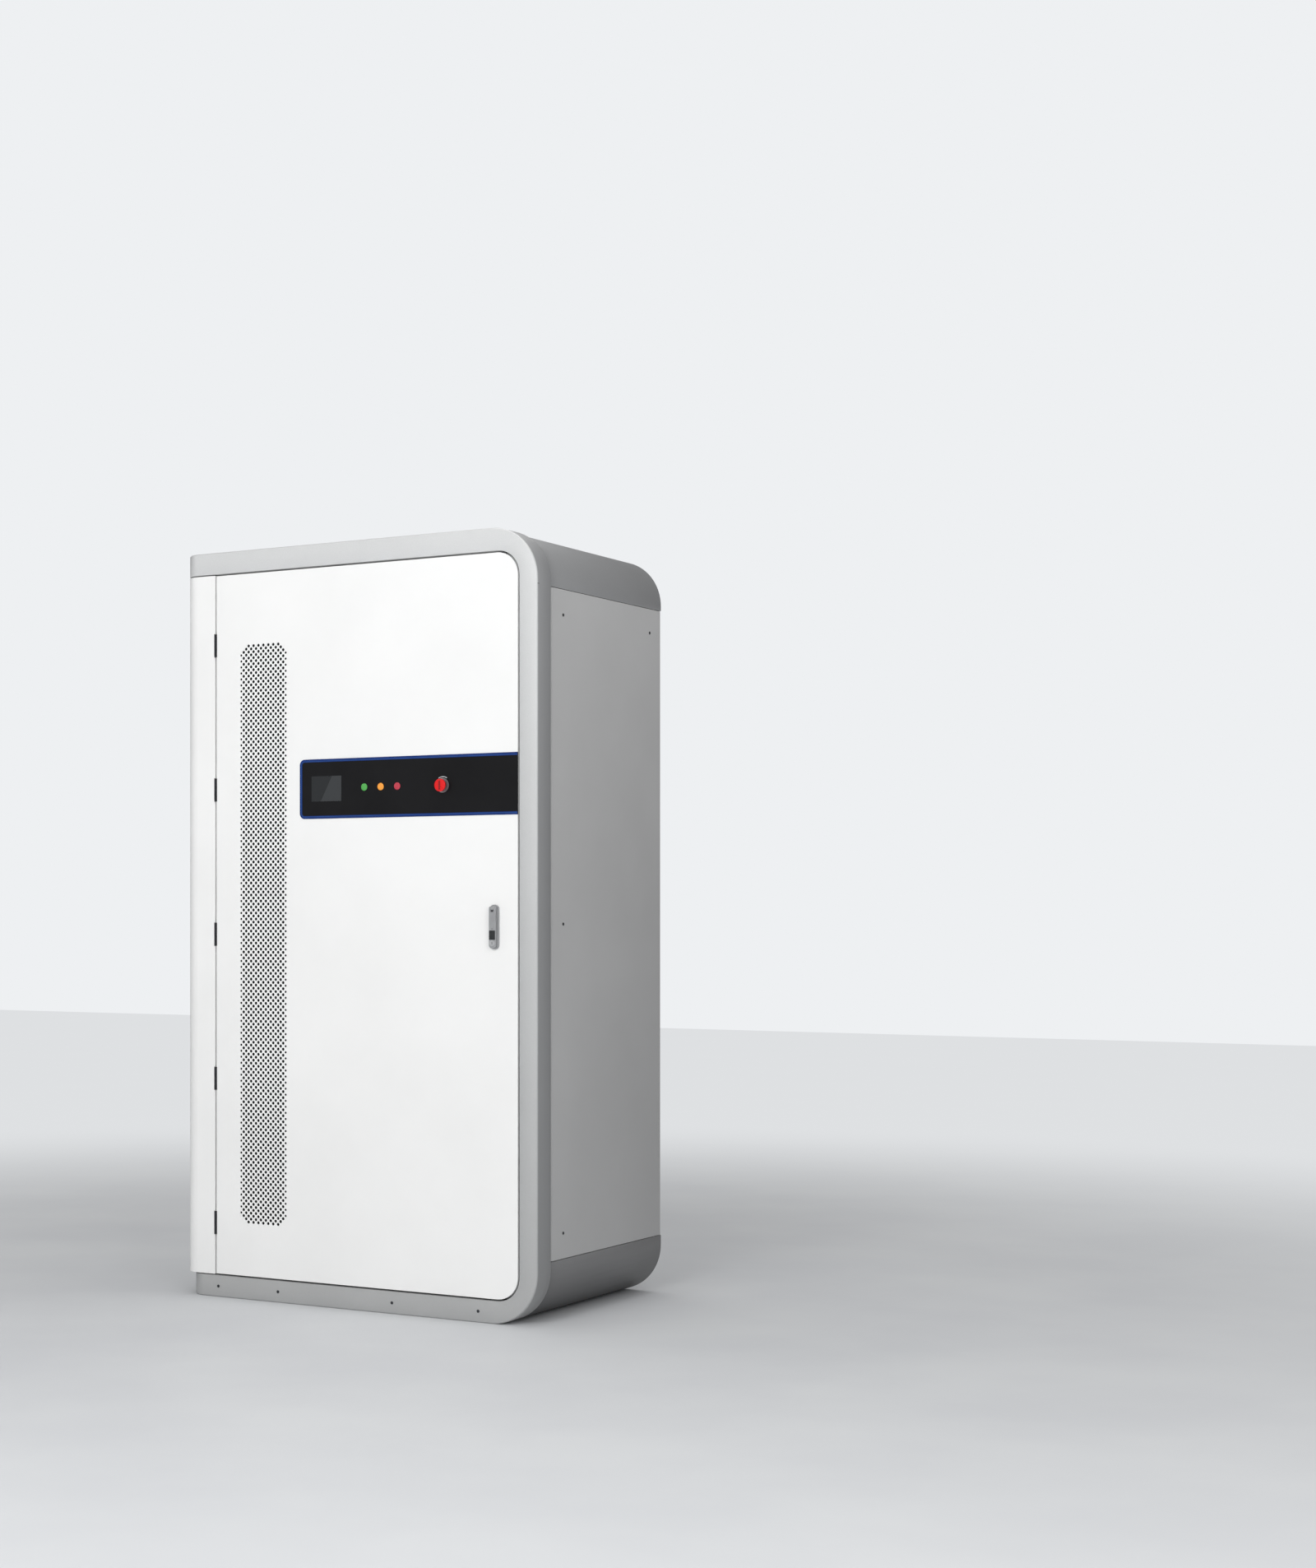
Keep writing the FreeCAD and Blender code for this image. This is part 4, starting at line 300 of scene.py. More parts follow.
def lampLens(name, node):
    material, tree, where = startMaterial(name)
    low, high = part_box(node)
    moved = add(tree, "ShaderNodeMapping", {"Vector": where, "Location": -(low + high) / 2})
    rings = add(tree, "ShaderNodeTexWave", {"Vector": moved.outputs[0], "Scale": lensLook["rings"]},
                wave_type="RINGS", rings_direction="Y")
    ramp = add(tree, "ShaderNodeValToRGB", {"Fac": rings.outputs[0]})
    for element, colour in zip(ramp.color_ramp.elements, lenses[name]):
        element.color = linear(colour)
    inputs = {"Base Color": ramp.outputs[0], "Emission Color": ramp.outputs[0], "Emission Strength": lensLook["glow"],
              "Roughness": lensLook["roughness"], "Coat Weight": lensLook["coat"]}
    endMaterial(tree, lensLook, inputs, None, rings.outputs[0], lensLook["depth"])
    return material


# Filter foam: open-cell polyurethane, nearly black and without any shine behind the vent, so it also stands for painted
# shade seen through the holes

foamLook = {"cell": 0.003, "colours": ("#0b0b0c", "#1b1b1d"), "roughness": 0.95, "bump": 0.6, "depth": 0.001}


def shadedFilterFoam():
    material, tree, where = startMaterial("shadedFilterFoam")
    cells = add(tree, "ShaderNodeTexVoronoi", {"Vector": where, "Scale": 1 / foamLook["cell"]})
    ramp = add(tree, "ShaderNodeValToRGB", {"Fac": cells.outputs["Distance"]})
    for element, colour in zip(ramp.color_ramp.elements, foamLook["colours"]):
        element.color = linear(colour)
    endMaterial(tree, foamLook, {"Base Color": ramp.outputs[0], "Roughness": foamLook["roughness"]}, None,
                cells.outputs["Distance"], foamLook["depth"])
    return material


pilotLamps = {"greenLens": ("lamp_green", "green_lens"), "amberLens": ("lamp_amber", "amber_lens"),
              "redLens": ("lamp_red", "red_lens")}
materials = {name: powderCoat(name) for name in powderCoats}
materials.update({name: bareMetal(name) for name in metals})
materials.update({name: mouldedPlastic(name) for name in plastics})
materials.update({"blackAcrylic": blackAcrylic(), "displayGlass": displayGlass(), "shadedFilterFoam": shadedFilterFoam()})
materials.update({lens: lampLens(lens, node) for lens, (node, slot) in pilotLamps.items()})
print("materials made:", len(materials))


# Mesh tools: outlines lie in x and z, and depth runs along y

sharpAngles = {"plate": 32, "turned": 28, "cad": 30}  # degrees at which an edge stays sharp


def finishMesh(name, mesh, material, body, sharp=sharpAngles["plate"]):
    obj = bpy.data.objects.new(name, mesh)
    bpy.context.scene.collection.objects.link(obj)
    mesh.materials.clear()
    mesh.materials.append(materials[material])
    mesh.shade_smooth()
    mesh.set_sharp_from_angle(angle=math.radians(sharp))
    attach(obj, body)
    return obj


# points of a round corner between two straight edges
def arcCorner(before, corner, after, radius, steps):
    toBefore, toAfter = (before - corner).normalized(), (after - corner).normalized()
    half = toBefore.angle(toAfter) / 2
    reach = radius / math.tan(half)
    centre = corner + (toBefore + toAfter).normalized() * (radius / math.sin(half))
    start, end = corner + toBefore * reach - centre, corner + toAfter * reach - centre
    turn = start.angle_signed(end)
    return [centre + Matrix.Rotation(-turn * step / steps, 2) @ start for step in range(steps + 1)]


# a closed outline from (x, z) or (x, z, radius) corners
def outline(corners, steps=8):
    spots = [Vector(corner[:2]) for corner in corners]
    points = []
    for i, corner in enumerate(corners):
        if len(corner) > 2 and corner[2] > 0:
            points += arcCorner(spots[i - 1], spots[i], spots[(i + 1) % len(spots)], corner[2], steps)
        else:
            points.append(spots[i])
    return points


def circleOutline(x, z, radius, steps=32):
    angles = [2 * math.pi * k / steps for k in range(steps)]
    return [Vector((x + radius * math.cos(angle), z + radius * math.sin(angle))) for angle in angles]


def roundedBlock(x0, x1, z0, z1, radius, steps=4):
    return outline([(x0, z0, radius), (x1, z0, radius), (x1, z1, radius), (x0, z1, radius)], steps)


def blockAt(x, z, halfWide, halfTall, radius, steps=4):
    return roundedBlock(x - halfWide, x + halfWide, z - halfTall, z + halfTall, radius, steps)


# a flat plate that stands forward of a face: the first outline is its rim, and the others are holes
def plate(name, outlines, face, look, material, body):
    thick, bevel = look["thick"], look["bevel"]
    curve = bpy.data.curves.new(name + "Curve", "CURVE")
    curve.dimensions = "2D"
    curve.fill_mode = "BOTH"
    for points in outlines:
        spline = curve.splines.new("POLY")
        spline.points.add(len(points) - 1)
        for point, place in zip(spline.points, points):
            point.co = (place[0], place[1], 0, 1)
        spline.use_cyclic_u = True
    curve.extrude = thick / 2 - bevel
    curve.bevel_depth = bevel
    curve.bevel_resolution = 2
    curve.offset = -bevel
    helper = bpy.data.objects.new(name + "Helper", curve)
    bpy.context.scene.collection.objects.link(helper)
    bpy.context.view_layer.update()
    mesh = bpy.data.meshes.new_from_object(helper.evaluated_get(bpy.context.evaluated_depsgraph_get()))
    bpy.data.objects.remove(helper)
    mesh.transform(Matrix.Translation((0, face - thick / 2, 0)) @ Matrix.Rotation(math.radians(90), 4, "X"))
    return finishMesh(name, mesh, material, body)


# (radius, distance) pairs spun about an axis through centre; a third value gives a ring that many sides
def lathe(name, profile, centre, material, body, slot, segments=48, axis="Y"):
    bm = bmesh.new()
    rings = []
    for radius, distance, *sides in profile:
        if radius == 0:
            rings.append([bm.verts.new((0, distance, 0))])
            continue
        ring = []
        for k in range(segments):
            angle = 2 * math.pi * k / segments
            reach = radius
            if sides:
                part = math.pi / sides[0]
                reach = radius * math.cos(part) / math.cos((angle + part) % (2 * part) - part)
            ring.append(bm.verts.new((reach * math.cos(angle), distance, reach * math.sin(angle))))
        rings.append(ring)
    for first, second in zip(rings, rings[1:]):
        for k in range(segments):
            corners = [first[k % len(first)], first[(k + 1) % len(first)],
                       second[(k + 1) % len(second)], second[k % len(second)]]
            corners = [v for i, v in enumerate(corners) if v not in corners[:i]]
            if len(corners) > 2:
                bm.faces.new(corners)
    bmesh.ops.recalc_face_normals(bm, faces=bm.faces)
    mesh = bpy.data.meshes.new(name)
    bm.to_mesh(mesh)
    bm.free()
    turns = {"Y": Matrix.Identity(4), "X": Matrix.Rotation(math.radians(-90), 4, "Z")}
    mesh.transform(Matrix.Translation(centre) @ turns[axis])
    return finishMesh(name, mesh, material, body, sharpAngles["turned"])


# CAD nodes that keep their shape and get their finish

packs = [f"battery_pack_{i}" for i in range(1, 9)]
finishes = {
    "silverPowderCoat": ["front_frame"],
    "whitePowderCoat": ["left_wrap_panel", "door_skin", "vent_grille"],
    "shadedSilverCoverCoat": ["top_cover"],
    "greyPowderCoat": ["right_side_panel", "rear_panel", "display_housing"],
    "lowerGreyPowderCoat": ["base_wrap"],
    "blackPowderCoat": ["base_frame", "rack_frame", "fan_housing", "fan_guard", "breaker_panel"],
    "shadedNitrileRubber": ["frame_spacer"],
    "greySealRubber": ["door_gasket"],
    "zincPlatedSteel": ["floor_plate", "pack_rails", "door_stiffeners", "lock_gearbox", "rod_guides", "lever_pin"],
    "seamShadeZincSteel": ["upper_rod", "lower_rod"],
    "blackenedSteel": ["panel_screws", "hinge_frame_leaves", "hinge_door_leaves"],
    "blackNylon": ["cable_glands", "fan_rotor", "main_breaker", "breaker_toggle", "contactors", "pack_handles"],
    "packEnamel": packs + ["power_converter", "control_box"],
    "orangeInsulation": ["pack_links"],
    "shadedFilterFoam": ["filter_mat"],
    "blackAcrylic": ["display_strip"],
    "displayGlass": ["screen"],
    "greenLens": ["lamp_green"],
    "amberLens": ["lamp_amber"],
    "redLens": ["lamp_red"],
    "redUrea": ["estop_head"],
    "brightRing": ["estop_collar"],
    "turnedSteel": ["estop_stem"],
    "paleZincCasting": ["key_cylinder"],
    "satinZincCasting": ["handle_base", "handle_hub", "lever"],
    "blackPushButton": ["release_button"],
}
for finish, names in finishes.items():
    for name in names:
        mesh = nodes[name].data
        mesh.materials.clear()
        mesh.materials.append(materials[finish])
        mesh.shade_smooth()
        mesh.set_sharp_from_angle(angle=math.radians(sharpAngles["cad"]))
missing = set(nodes) - {name for names in finishes.values() for name in names}
if missing:
    raise RuntimeError(f"no finish for {sorted(missing)}")

# sheet folds, cast edges and moulded edges are rounded by this much, so they catch a thin line of light
edgeRounding = {
    0.0014: ["front_frame", "top_cover", "base_wrap"],
    0.0006: ["right_side_panel", "handle_base", "lever", "release_button", "display_housing", "breaker_panel",
             "pack_rails", "door_stiffeners", "rod_guides", "pack_links", "fan_guard"],
    0.0015: ["rack_frame", "base_frame", "power_converter", "control_box", "main_breaker", "contactors",
             "lock_gearbox", "breaker_toggle"] + packs,
}
roundingLook = {"join": 0.00002, "segments": 2, "angle": 40}
for width, names in edgeRounding.items():
    for name in names:
        weld = nodes[name].modifiers.new("joinFaces", "WELD")
        weld.merge_threshold = roundingLook["join"]
        rounding = nodes[name].modifiers.new("edgeRounding", "BEVEL")
        rounding.width = width
        rounding.segments = roundingLook["segments"]
        rounding.limit_method = "ANGLE"
        rounding.angle_limit = math.radians(roundingLook["angle"])
        rounding.harden_normals = True
        nodes[name].data.shade_smooth()
print("finishes set:", len(finishes))


# Vent: white sheet with its real round holes, staggered at 45 degrees
# rim is the least metal outside a hole, and cut keeps holes out of the round corners

ventLook = {"pitch": 0.016, "hole": 0.0042, "least": 0.7, "steps": 12, "corner": 0.03, "bends": 8, "rim": 0.0003,
            "cut": 0.026, "sheet": 0.0012}


def ventSheet():
    low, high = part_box("vent_grille")
    centre = (low + high) / 2
    step, radius, count = ventLook["pitch"] / 2, ventLook["hole"], ventLook["steps"]
    reachX, reachZ = (high.x - low.x) / 2, (high.z - low.z) / 2
    columns, rows = int(reachX / step) + 2, int(reachZ / step) + 2
    bm = bmesh.new()
    grid = {}

    def corner(column, row):
        if (column, row) not in grid:
            grid[column, row] = bm.verts.new((centre.x + column * step, 0, centre.z + row * step))
        return grid[column, row]

    for column in range(-columns, columns + 1):
        for row in range(-rows, rows + 1):
            if (column + row) % 2:
                continue
            around = [corner(column + x, row + z) for x, z in ((1, 0), (0, 1), (-1, 0), (0, -1))]
            spareX, spareZ = reachX - abs(column) * step, reachZ - abs(row) * step
            size = min(radius, spareX - ventLook["rim"], spareZ - ventLook["rim"])  # outer columns have smaller holes
            if size < radius * ventLook["least"] or spareX + spareZ < ventLook["cut"]:
                bm.faces.new(around)
                continue
            spots = circleOutline(centre.x + column * step, centre.z + row * step, size, count)
            hole = [bm.verts.new((spot.x, 0, spot.y)) for spot in spots]
            for side in range(4):
                first = side * count // 4
                arc = [hole[(first + k) % count] for k in range(count // 4 + 1)]
                bm.faces.new([around[side], around[(side + 1) % 4]] + arc[::-1])
    # planes that touch the round corners cut the grid to the sheet's outline
    bend, bends = ventLook["corner"], ventLook["bends"]
    for turnX, turnZ in ((1, 1), (-1, 1), (-1, -1), (1, -1)):
        for part in range(bends + 1):
            angle = math.radians(90 * part / bends)
            way = Vector((turnX * math.cos(angle), 0, turnZ * math.sin(angle)))
            spot = Vector((centre.x + turnX * (reachX - bend), 0, centre.z + turnZ * (reachZ - bend))) + way * bend
            bmesh.ops.bisect_plane(bm, geom=bm.verts[:] + bm.edges[:] + bm.faces[:], plane_co=spot, plane_no=way,
                                   clear_outer=True)
    bmesh.ops.recalc_face_normals(bm, faces=bm.faces)
    if sum(face.normal.y for face in bm.faces) > 0:
        bmesh.ops.reverse_faces(bm, faces=bm.faces)
    bmesh.ops.translate(bm, vec=(0, low.y, 0), verts=bm.verts)
    bmesh.ops.solidify(bm, geom=bm.faces[:], thickness=ventLook["sheet"])
    mesh = bpy.data.meshes.new("punchedVent")
    bm.to_mesh(mesh)
    bm.free()
    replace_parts(finishMesh("punchedVent", mesh, "whitePowderCoat", "door"), "vent_grille")
    print("vent sheet:", len(mesh.polygons), "faces")


ventSheet()


# Display strip: a blue printed border on three sides, with a paler line inside it

stripLook = {"corner": 0.015, "steps": 10}
stripLines = {
    "stripBorder": {"wide": 0.0078, "inset": 0, "thick": 0.0003, "bevel": 0.0001, "ink": "blueFilmInk"},
    "stripEdge": {"wide": 0.0012, "inset": 0.004836, "thick": 0.0005, "bevel": 0.0001, "ink": "paleBlueFilmInk"},
}


def stripBorder():
    low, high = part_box("display_strip")
    for name, line in stripLines.items():
        wide, inset = line["wide"], line["inset"]
        corner = stripLook["corner"] - inset
        left, bottom, top = low.x + inset, low.z + inset, high.z - inset
        turns = [(left, bottom, corner), (high.x, bottom), (high.x, bottom + wide),
                 (left + wide, bottom + wide, corner - wide), (left + wide, top - wide, corner - wide),
                 (high.x, top - wide), (high.x, top), (left, top, corner)]
        plate(name, [outline(turns, stripLook["steps"])], low.y, line, line["ink"], "door")


# Pilot lamps: lenses with a short straight flange and a domed front

lampLook = {"dome": 0.0012, "flange": 0.0008, "steps": 8}


def lamps():
    flange, dome = lampLook["flange"], lampLook["dome"]
    for lens, (node, slot) in pilotLamps.items():
        low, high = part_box(node)
        centre = (low + high) / 2
        radius, depth = (high.x - low.x) / 2, high.y - low.y
        profile = [(radius, 0), (radius, -depth + dome + flange)]
        for step in range(lampLook["steps"]):
            angle = math.radians(90 * step / lampLook["steps"])
            profile.append(((radius - flange) * math.cos(angle), -depth + dome - dome * math.sin(angle)))
        profile.append((0, -depth))
        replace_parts(lathe(node + "Lens", profile, (centre.x, high.y, centre.z), lens, "door", slot), node)


stripBorder()
lamps()
print("display strip done")


# Stop button: a mushroom head with a waist, a raised grip across its crown and a pale arc printed over its ring
# neck, lip, edge and shoulder are shares of the crown's height; seat keeps the back just clear of the stem

stopLook = {"seat": 0.0002, "waist": 0.0135, "neck": 0.4, "lip": (0.0005, 0.5), "edge": 0.58, "shoulder": (0.7, 0.28),
            "skirt": 0.0045, "flat": (0.4, 0.0001), "steps": 8, "segments": 64}
gripLook = {"half": (0.0026, 0.01175), "corner": 0.00247, "steps": 6, "proud": 0.0011, "thick": 0.0015,
            "bevel": 0.0005}
arcLook = {"half": 34, "steps": 10, "out": 0.004675, "wide": 0.0022, "thick": 0.0002, "bevel": 0.00005}


def stopButton():
    low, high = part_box("estop_head")
    centre = (low + high) / 2
    radius, crown = (high.x - low.x) / 2, high.y - low.y - gripLook["proud"]
    back, waist = -stopLook["seat"], stopLook["waist"]
    lip, lipAt = stopLook["lip"]
    shoulder, rise = stopLook["shoulder"]
    profile = [(0, back), (waist, back), (waist, -crown * stopLook["neck"]), (radius - lip, -crown * lipAt),
               (radius, -crown * stopLook["edge"])]
    for step in range(1, stopLook["steps"] + 1):
        angle = math.radians(90 * step / stopLook["steps"])
        profile.append((radius - stopLook["skirt"] * (1 - math.cos(angle)),
                        -crown * shoulder - crown * rise * math.sin(angle)))
    flat, sag = stopLook["flat"]
    profile += [(radius * flat, -crown + sag), (0, -crown)]
    head = lathe("stopHeadMoulding", profile, (centre.x, high.y, centre.z), "redUrea", "stop_head", "stop_red",
                 stopLook["segments"])
    grip = blockAt(centre.x, centre.z, *gripLook["half"], gripLook["corner"], gripLook["steps"])
    plate("stopHeadGrip", [grip], low.y + gripLook["thick"], gripLook, "shadedRedUrea", "stop_head")
    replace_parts(head, "estop_head")


def stopArc():
    low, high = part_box("estop_head")
    x, z = (low.x + high.x) / 2, (low.z + high.z) / 2
    low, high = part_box("estop_collar")
    outer = (high.x - low.x) / 2 + arcLook["out"]
    half, steps = arcLook["half"], arcLook["steps"]
    angles = [math.radians(90 + half - 2 * half * k / steps) for k in range(steps + 1)]
    points = []
    for radius, order in ((outer, angles), (outer - arcLook["wide"], angles[::-1])):
        points += [Vector((x + radius * math.cos(angle), z + radius * math.sin(angle))) for angle in order]
    plate("stopArc", [points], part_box("display_strip")[0].y, arcLook, "paleFilmInk", "door")


stopButton()
stopArc()
print("stop button done")


# Handle: button surround, a small indicator dot and a rose round the key lock, all on the lever

surroundLook = {"half": (0.0088, 0.0116), "corner": 0.0012, "clear": 0.0003, "thick": 0.0004, "bevel": 0.0001}
dotLook = {"radius": 0.0012, "height": 0.9926, "steps": 20, "thick": 0.0002, "bevel": 0.00005}
roseLook = {"radius": 0.0076, "clear": 0.0002, "steps": 48, "thick": 0.0004, "bevel": 0.00015}


def handleTrim():
    low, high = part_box("lever")
    x, face = (low.x + high.x) / 2, low.y
    low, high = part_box("release_button")
    clear = surroundLook["clear"]
    surround = blockAt(x, (low.z + high.z) / 2, *surroundLook["half"], surroundLook["corner"])
    window = roundedBlock(low.x - clear, high.x + clear, low.z - clear, high.z + clear, 0)
    plate("buttonSurround", [surround, window], face, surroundLook, "blackPushButton", "lever")
    dot = circleOutline(x, dotLook["height"], dotLook["radius"], dotLook["steps"])
    plate("leverDot", [dot], face, dotLook, "blackNylon", "lever")
    low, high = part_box("key_cylinder")
    lock, inner = (low + high) / 2, (high.x - low.x) / 2 + roseLook["clear"]
    rings = [circleOutline(lock.x, lock.z, radius, roseLook["steps"]) for radius in (roseLook["radius"], inner)]
    plate("lockRose", rings, face, roseLook, "paleZincCasting", "lever")


handleTrim()
print("handle done")


# Frame joint: the fine dark line where the corner piece meets the upright, on the outer edge

jointLook = {"height": 1.852, "reach": 0.009, "half": 0.00055, "thick": 0.0002, "bevel": 0.00005}


def frameJoint():
    low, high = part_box("front_frame")
    half, height = jointLook["half"], jointLook["height"]
    line = roundedBlock(low.y, low.y + jointLook["reach"], height - half, height + half, 0)
    joint = plate("frameJoint", [line], 0, jointLook, "blackNylon", "cabinet")
    joint.data.transform(Matrix.Translation((high.x, 0, 0)) @ Matrix.Rotation(math.radians(90), 4, "Z"))


frameJoint()
print("frame joint done")


# Screw heads: pan heads with a hexagon socket, one for each screw of the panels

screwLook = {"radius": 0.0041, "socket": 0.0021, "height": 0.0012, "segments": 24,
             "head": ((1, 0.0), (1, 0.45), (0.9, 0.8), (0.66, 1)),  # shares of the radius and height
             "well": ((1, 1), (0.96, 0.25)), "floor": 0.2}


# boxes of the separate solids in a node, found by joining faces that touch
def solidsOf(node, touch=1e-5):
    boxes = []
    mesh = nodes[node].data
    for polygon in mesh.polygons:
        spots = [mesh.vertices[i].co for i in polygon.vertices]
        low, high = (Vector(tuple(pick(spot[axis] for spot in spots) for axis in range(3))) for pick in (min, max))
        touching = [box for box in boxes
                    if all(box[0][k] <= high[k] + touch and low[k] <= box[1][k] + touch for k in range(3))]
        for box in touching:
            boxes.remove(box)
            low = Vector(map(min, low, box[0]))
            high = Vector(map(max, high, box[1]))
        boxes.append((low, high))
    return boxes


def screwHeads():
    radius, socket, height = screwLook["radius"], screwLook["socket"], screwLook["height"]
    profile = [(radius * wide, -height * tall) for wide, tall in screwLook["head"]]
    profile += [(socket * wide, -height * tall, 6) for wide, tall in screwLook["well"]]
    profile.append((0, -height * screwLook["floor"]))
    sideProfile = [(ring[0], -ring[1], *ring[2:]) for ring in profile]
    screws = solidsOf("panel_screws")
    for number, (low, high) in enumerate(screws):
        centre = (low + high) / 2
        if high.x - low.x < high.y - low.y:  # a screw of the side panel points along x
            way = sideProfile, Vector((low.x, centre.y, centre.z)), "X"
        else:
            way = profile, Vector((centre.x, high.y, centre.z)), "Y"
        head = lathe(f"panelScrew{number + 1}", way[0], way[1], "blackenedSteel", "cabinet", "zinc_plated_steel",
                     screwLook["segments"], way[2])
        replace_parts(head, "panel_screws")
    print("panel screws:", len(screws))


screwHeads()


# Battery packs: a slotted front, a row of status lights on a bar and four corner screws

packLook = {"recess": 0.012, "inset": 0.055, "base": 0.042, "below": 0.014, "above": 0.077, "corner": 0.008,
            "thick": 0.0022, "bevel": 0.0004}
slotLook = {"half": (0.052, 0.00225), "corner": 0.002025, "steps": 3, "rows": 7, "pitch": 0.0105, "aside": 0.062}
statusLook = {"drop": 0.112, "lit": 4, "pitch": 0.011, "hole": 0.0023, "bar": (0.045, 0.008, 0.004),
              "lens": [(0.0021, 0), (0.0021, -0.0008), (0.00147, -0.0014), (0, -0.0016)], "segments": 16,
              "thick": 0.0007, "bevel": 0.00015}
packScrewLook = {"inset": 0.026, "segments": 18, "profile": [(0.0048, 0), (0.0048, -0.0016), (0.0036, -0.0026),
                                                           (0.0022, -0.0026, 6), (0.0021, -0.0008, 6), (0, -0.0008)]}
# material, body and slot of a status light that is lit, and of one that isn't
lightTones = {True: ("greenLed", "cabinet", "green_lens"), False: ("paleTerminalPlastic", "cabinet", "pack_enamel")}


def packFront(number):
    low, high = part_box(f"battery_pack_{number}")
    recess = low.y + packLook["recess"]  # the terminals stand proud of the case's front
    middle, base = (low.x + high.x) / 2, low.z + packLook["base"]
    face = roundedBlock(low.x + packLook["inset"], high.x - packLook["inset"], base - packLook["below"],
                        base + packLook["above"], packLook["corner"])
    slots = [blockAt(middle + side * slotLook["aside"], base + row * slotLook["pitch"], *slotLook["half"],
                     slotLook["corner"], slotLook["steps"]) for side in (-1, 1) for row in range(slotLook["rows"])]
    plate(f"packVent{number}", [face] + slots, recess, packLook, "packFrontPlastic", "cabinet")
    lights = high.z - statusLook["drop"]
    across = [middle + k * statusLook["pitch"] for k in range(-2, 3)]
    for k, x in enumerate(across):
        lathe(f"packLight{number}_{k + 1}", statusLook["lens"], Vector((x, recess, lights)),
              *lightTones[k < statusLook["lit"]], statusLook["segments"])
    bar = blockAt(middle, lights, *statusLook["bar"])
    holes = [circleOutline(x, lights, statusLook["hole"], statusLook["segments"]) for x in across]
    plate(f"packLightBar{number}", [bar] + holes, recess, statusLook, "blackNylon", "cabinet")
    inset = packScrewLook["inset"]
    for side in (-1, 1):
        x = middle + side * ((high.x - low.x) / 2 - inset)
        for end, z in enumerate((low.z + inset, high.z - inset)):
            lathe(f"packScrew{number}_{side + 2}{end + 1}", packScrewLook["profile"], Vector((x, recess, z)),
                  "zincPlatedSteel", "cabinet", "zinc_plated_steel", packScrewLook["segments"])


for number in range(1, len(packs) + 1):
    packFront(number)
print("pack fronts:", len(packs))


# Link ends: hexagon nuts with washers on short studs

linkLook = {"inset": 0.014, "segments": 30,
            "nut": [(0.0085, 0), (0.0085, -0.0009), (0.0068, -0.001, 6), (0.0068, -0.0058, 6), (0.0055, -0.0064, 6),
                    (0.0038, -0.0064), (0.0038, -0.0094), (0.003, -0.0102), (0, -0.0102)]}


def linkEnds():
    boxes = solidsOf("pack_links")
    for number, (low, high) in enumerate(boxes):
        for end, z in enumerate((low.z + linkLook["inset"], high.z - linkLook["inset"])):
            lathe(f"linkNut{number + 1}_{end + 1}", linkLook["nut"], Vector(((low.x + high.x) / 2, low.y, z)),
                  "brassBolt", "cabinet", "zinc_plated_steel", linkLook["segments"])
    print("link nuts:", 2 * len(boxes))


linkEnds()


# Control box: a front panel fitted round its blocks, and a row of round sockets under them
# places are distances from the left with each mouth's radius, and bore gives shares of that radius

controlLook = {"recess": 0.014, "inset": 0.012, "corner": 0.006, "widest": 0.1, "clear": 0.0006, "blockCorner": 0.001,
               "thick": 0.002, "bevel": 0.0004}
socketLook = {"up": 0.03, "rim": 0.003, "step": 0.003, "top": 0.0045, "bore": (0.82, 0.8), "floor": 0.001,
              "segments": 32, "places": ((0.19, 0.011), (0.23, 0.011), (0.31, 0.009), (0.34, 0.009), (0.37, 0.009))}


def controlFront():
    low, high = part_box("control_box")
    face = low.y + controlLook["recess"]
    inset, clear = controlLook["inset"], controlLook["clear"]
    panel = [roundedBlock(low.x + inset, high.x - inset, low.z + inset, high.z - inset, controlLook["corner"])]
    for blockLow, blockHigh in solidsOf("control_box"):
        if blockHigh.x - blockLow.x < controlLook["widest"]:
            panel.append(roundedBlock(blockLow.x - clear, blockHigh.x + clear, blockLow.z - clear,
                                      blockHigh.z + clear, controlLook["blockCorner"], 2))
    plate("controlFrontPlate", panel, face, controlLook, "greyPowderCoat", "cabinet")
    rim, top, floor = socketLook["rim"], -socketLook["top"], -socketLook["floor"]
    mouth, bore = socketLook["bore"]
    for number, (x, size) in enumerate(socketLook["places"]):
        profile = [(size + rim, 0), (size + rim, -socketLook["step"]), (size, top), (size * mouth, top),
                   (size * bore, floor), (0, floor)]
        place = Vector((low.x + x, face - controlLook["thick"], low.z + socketLook["up"]))
        lathe(f"controlSocket{number + 1}", profile, place, "blackNylon", "cabinet", "black_nylon",
              socketLook["segments"])


# Power converter: a cover rim round its fins, two round grilles and three small lights

rimLook = {"inset": 0.006, "corner": 0.008, "window": (0.034, 0.052, 0.098), "windowCorner": 0.006, "thick": 0.0022,
           "bevel": 0.0005}
grilleLook = {"inset": 0.09, "down": 0.05, "radius": 0.034, "steps": 40, "rings": ((0.012, 6), (0.02, 12), (0.028, 18)),
              "hole": (0.0028, 10), "thick": 0.0014, "bevel": 0.0003}
signalLook = {"pitch": 0.03, "segments": 24, "lens": [(0.0042, 0), (0.0042, -0.001), (0.003, -0.0024), (0, -0.003)]}


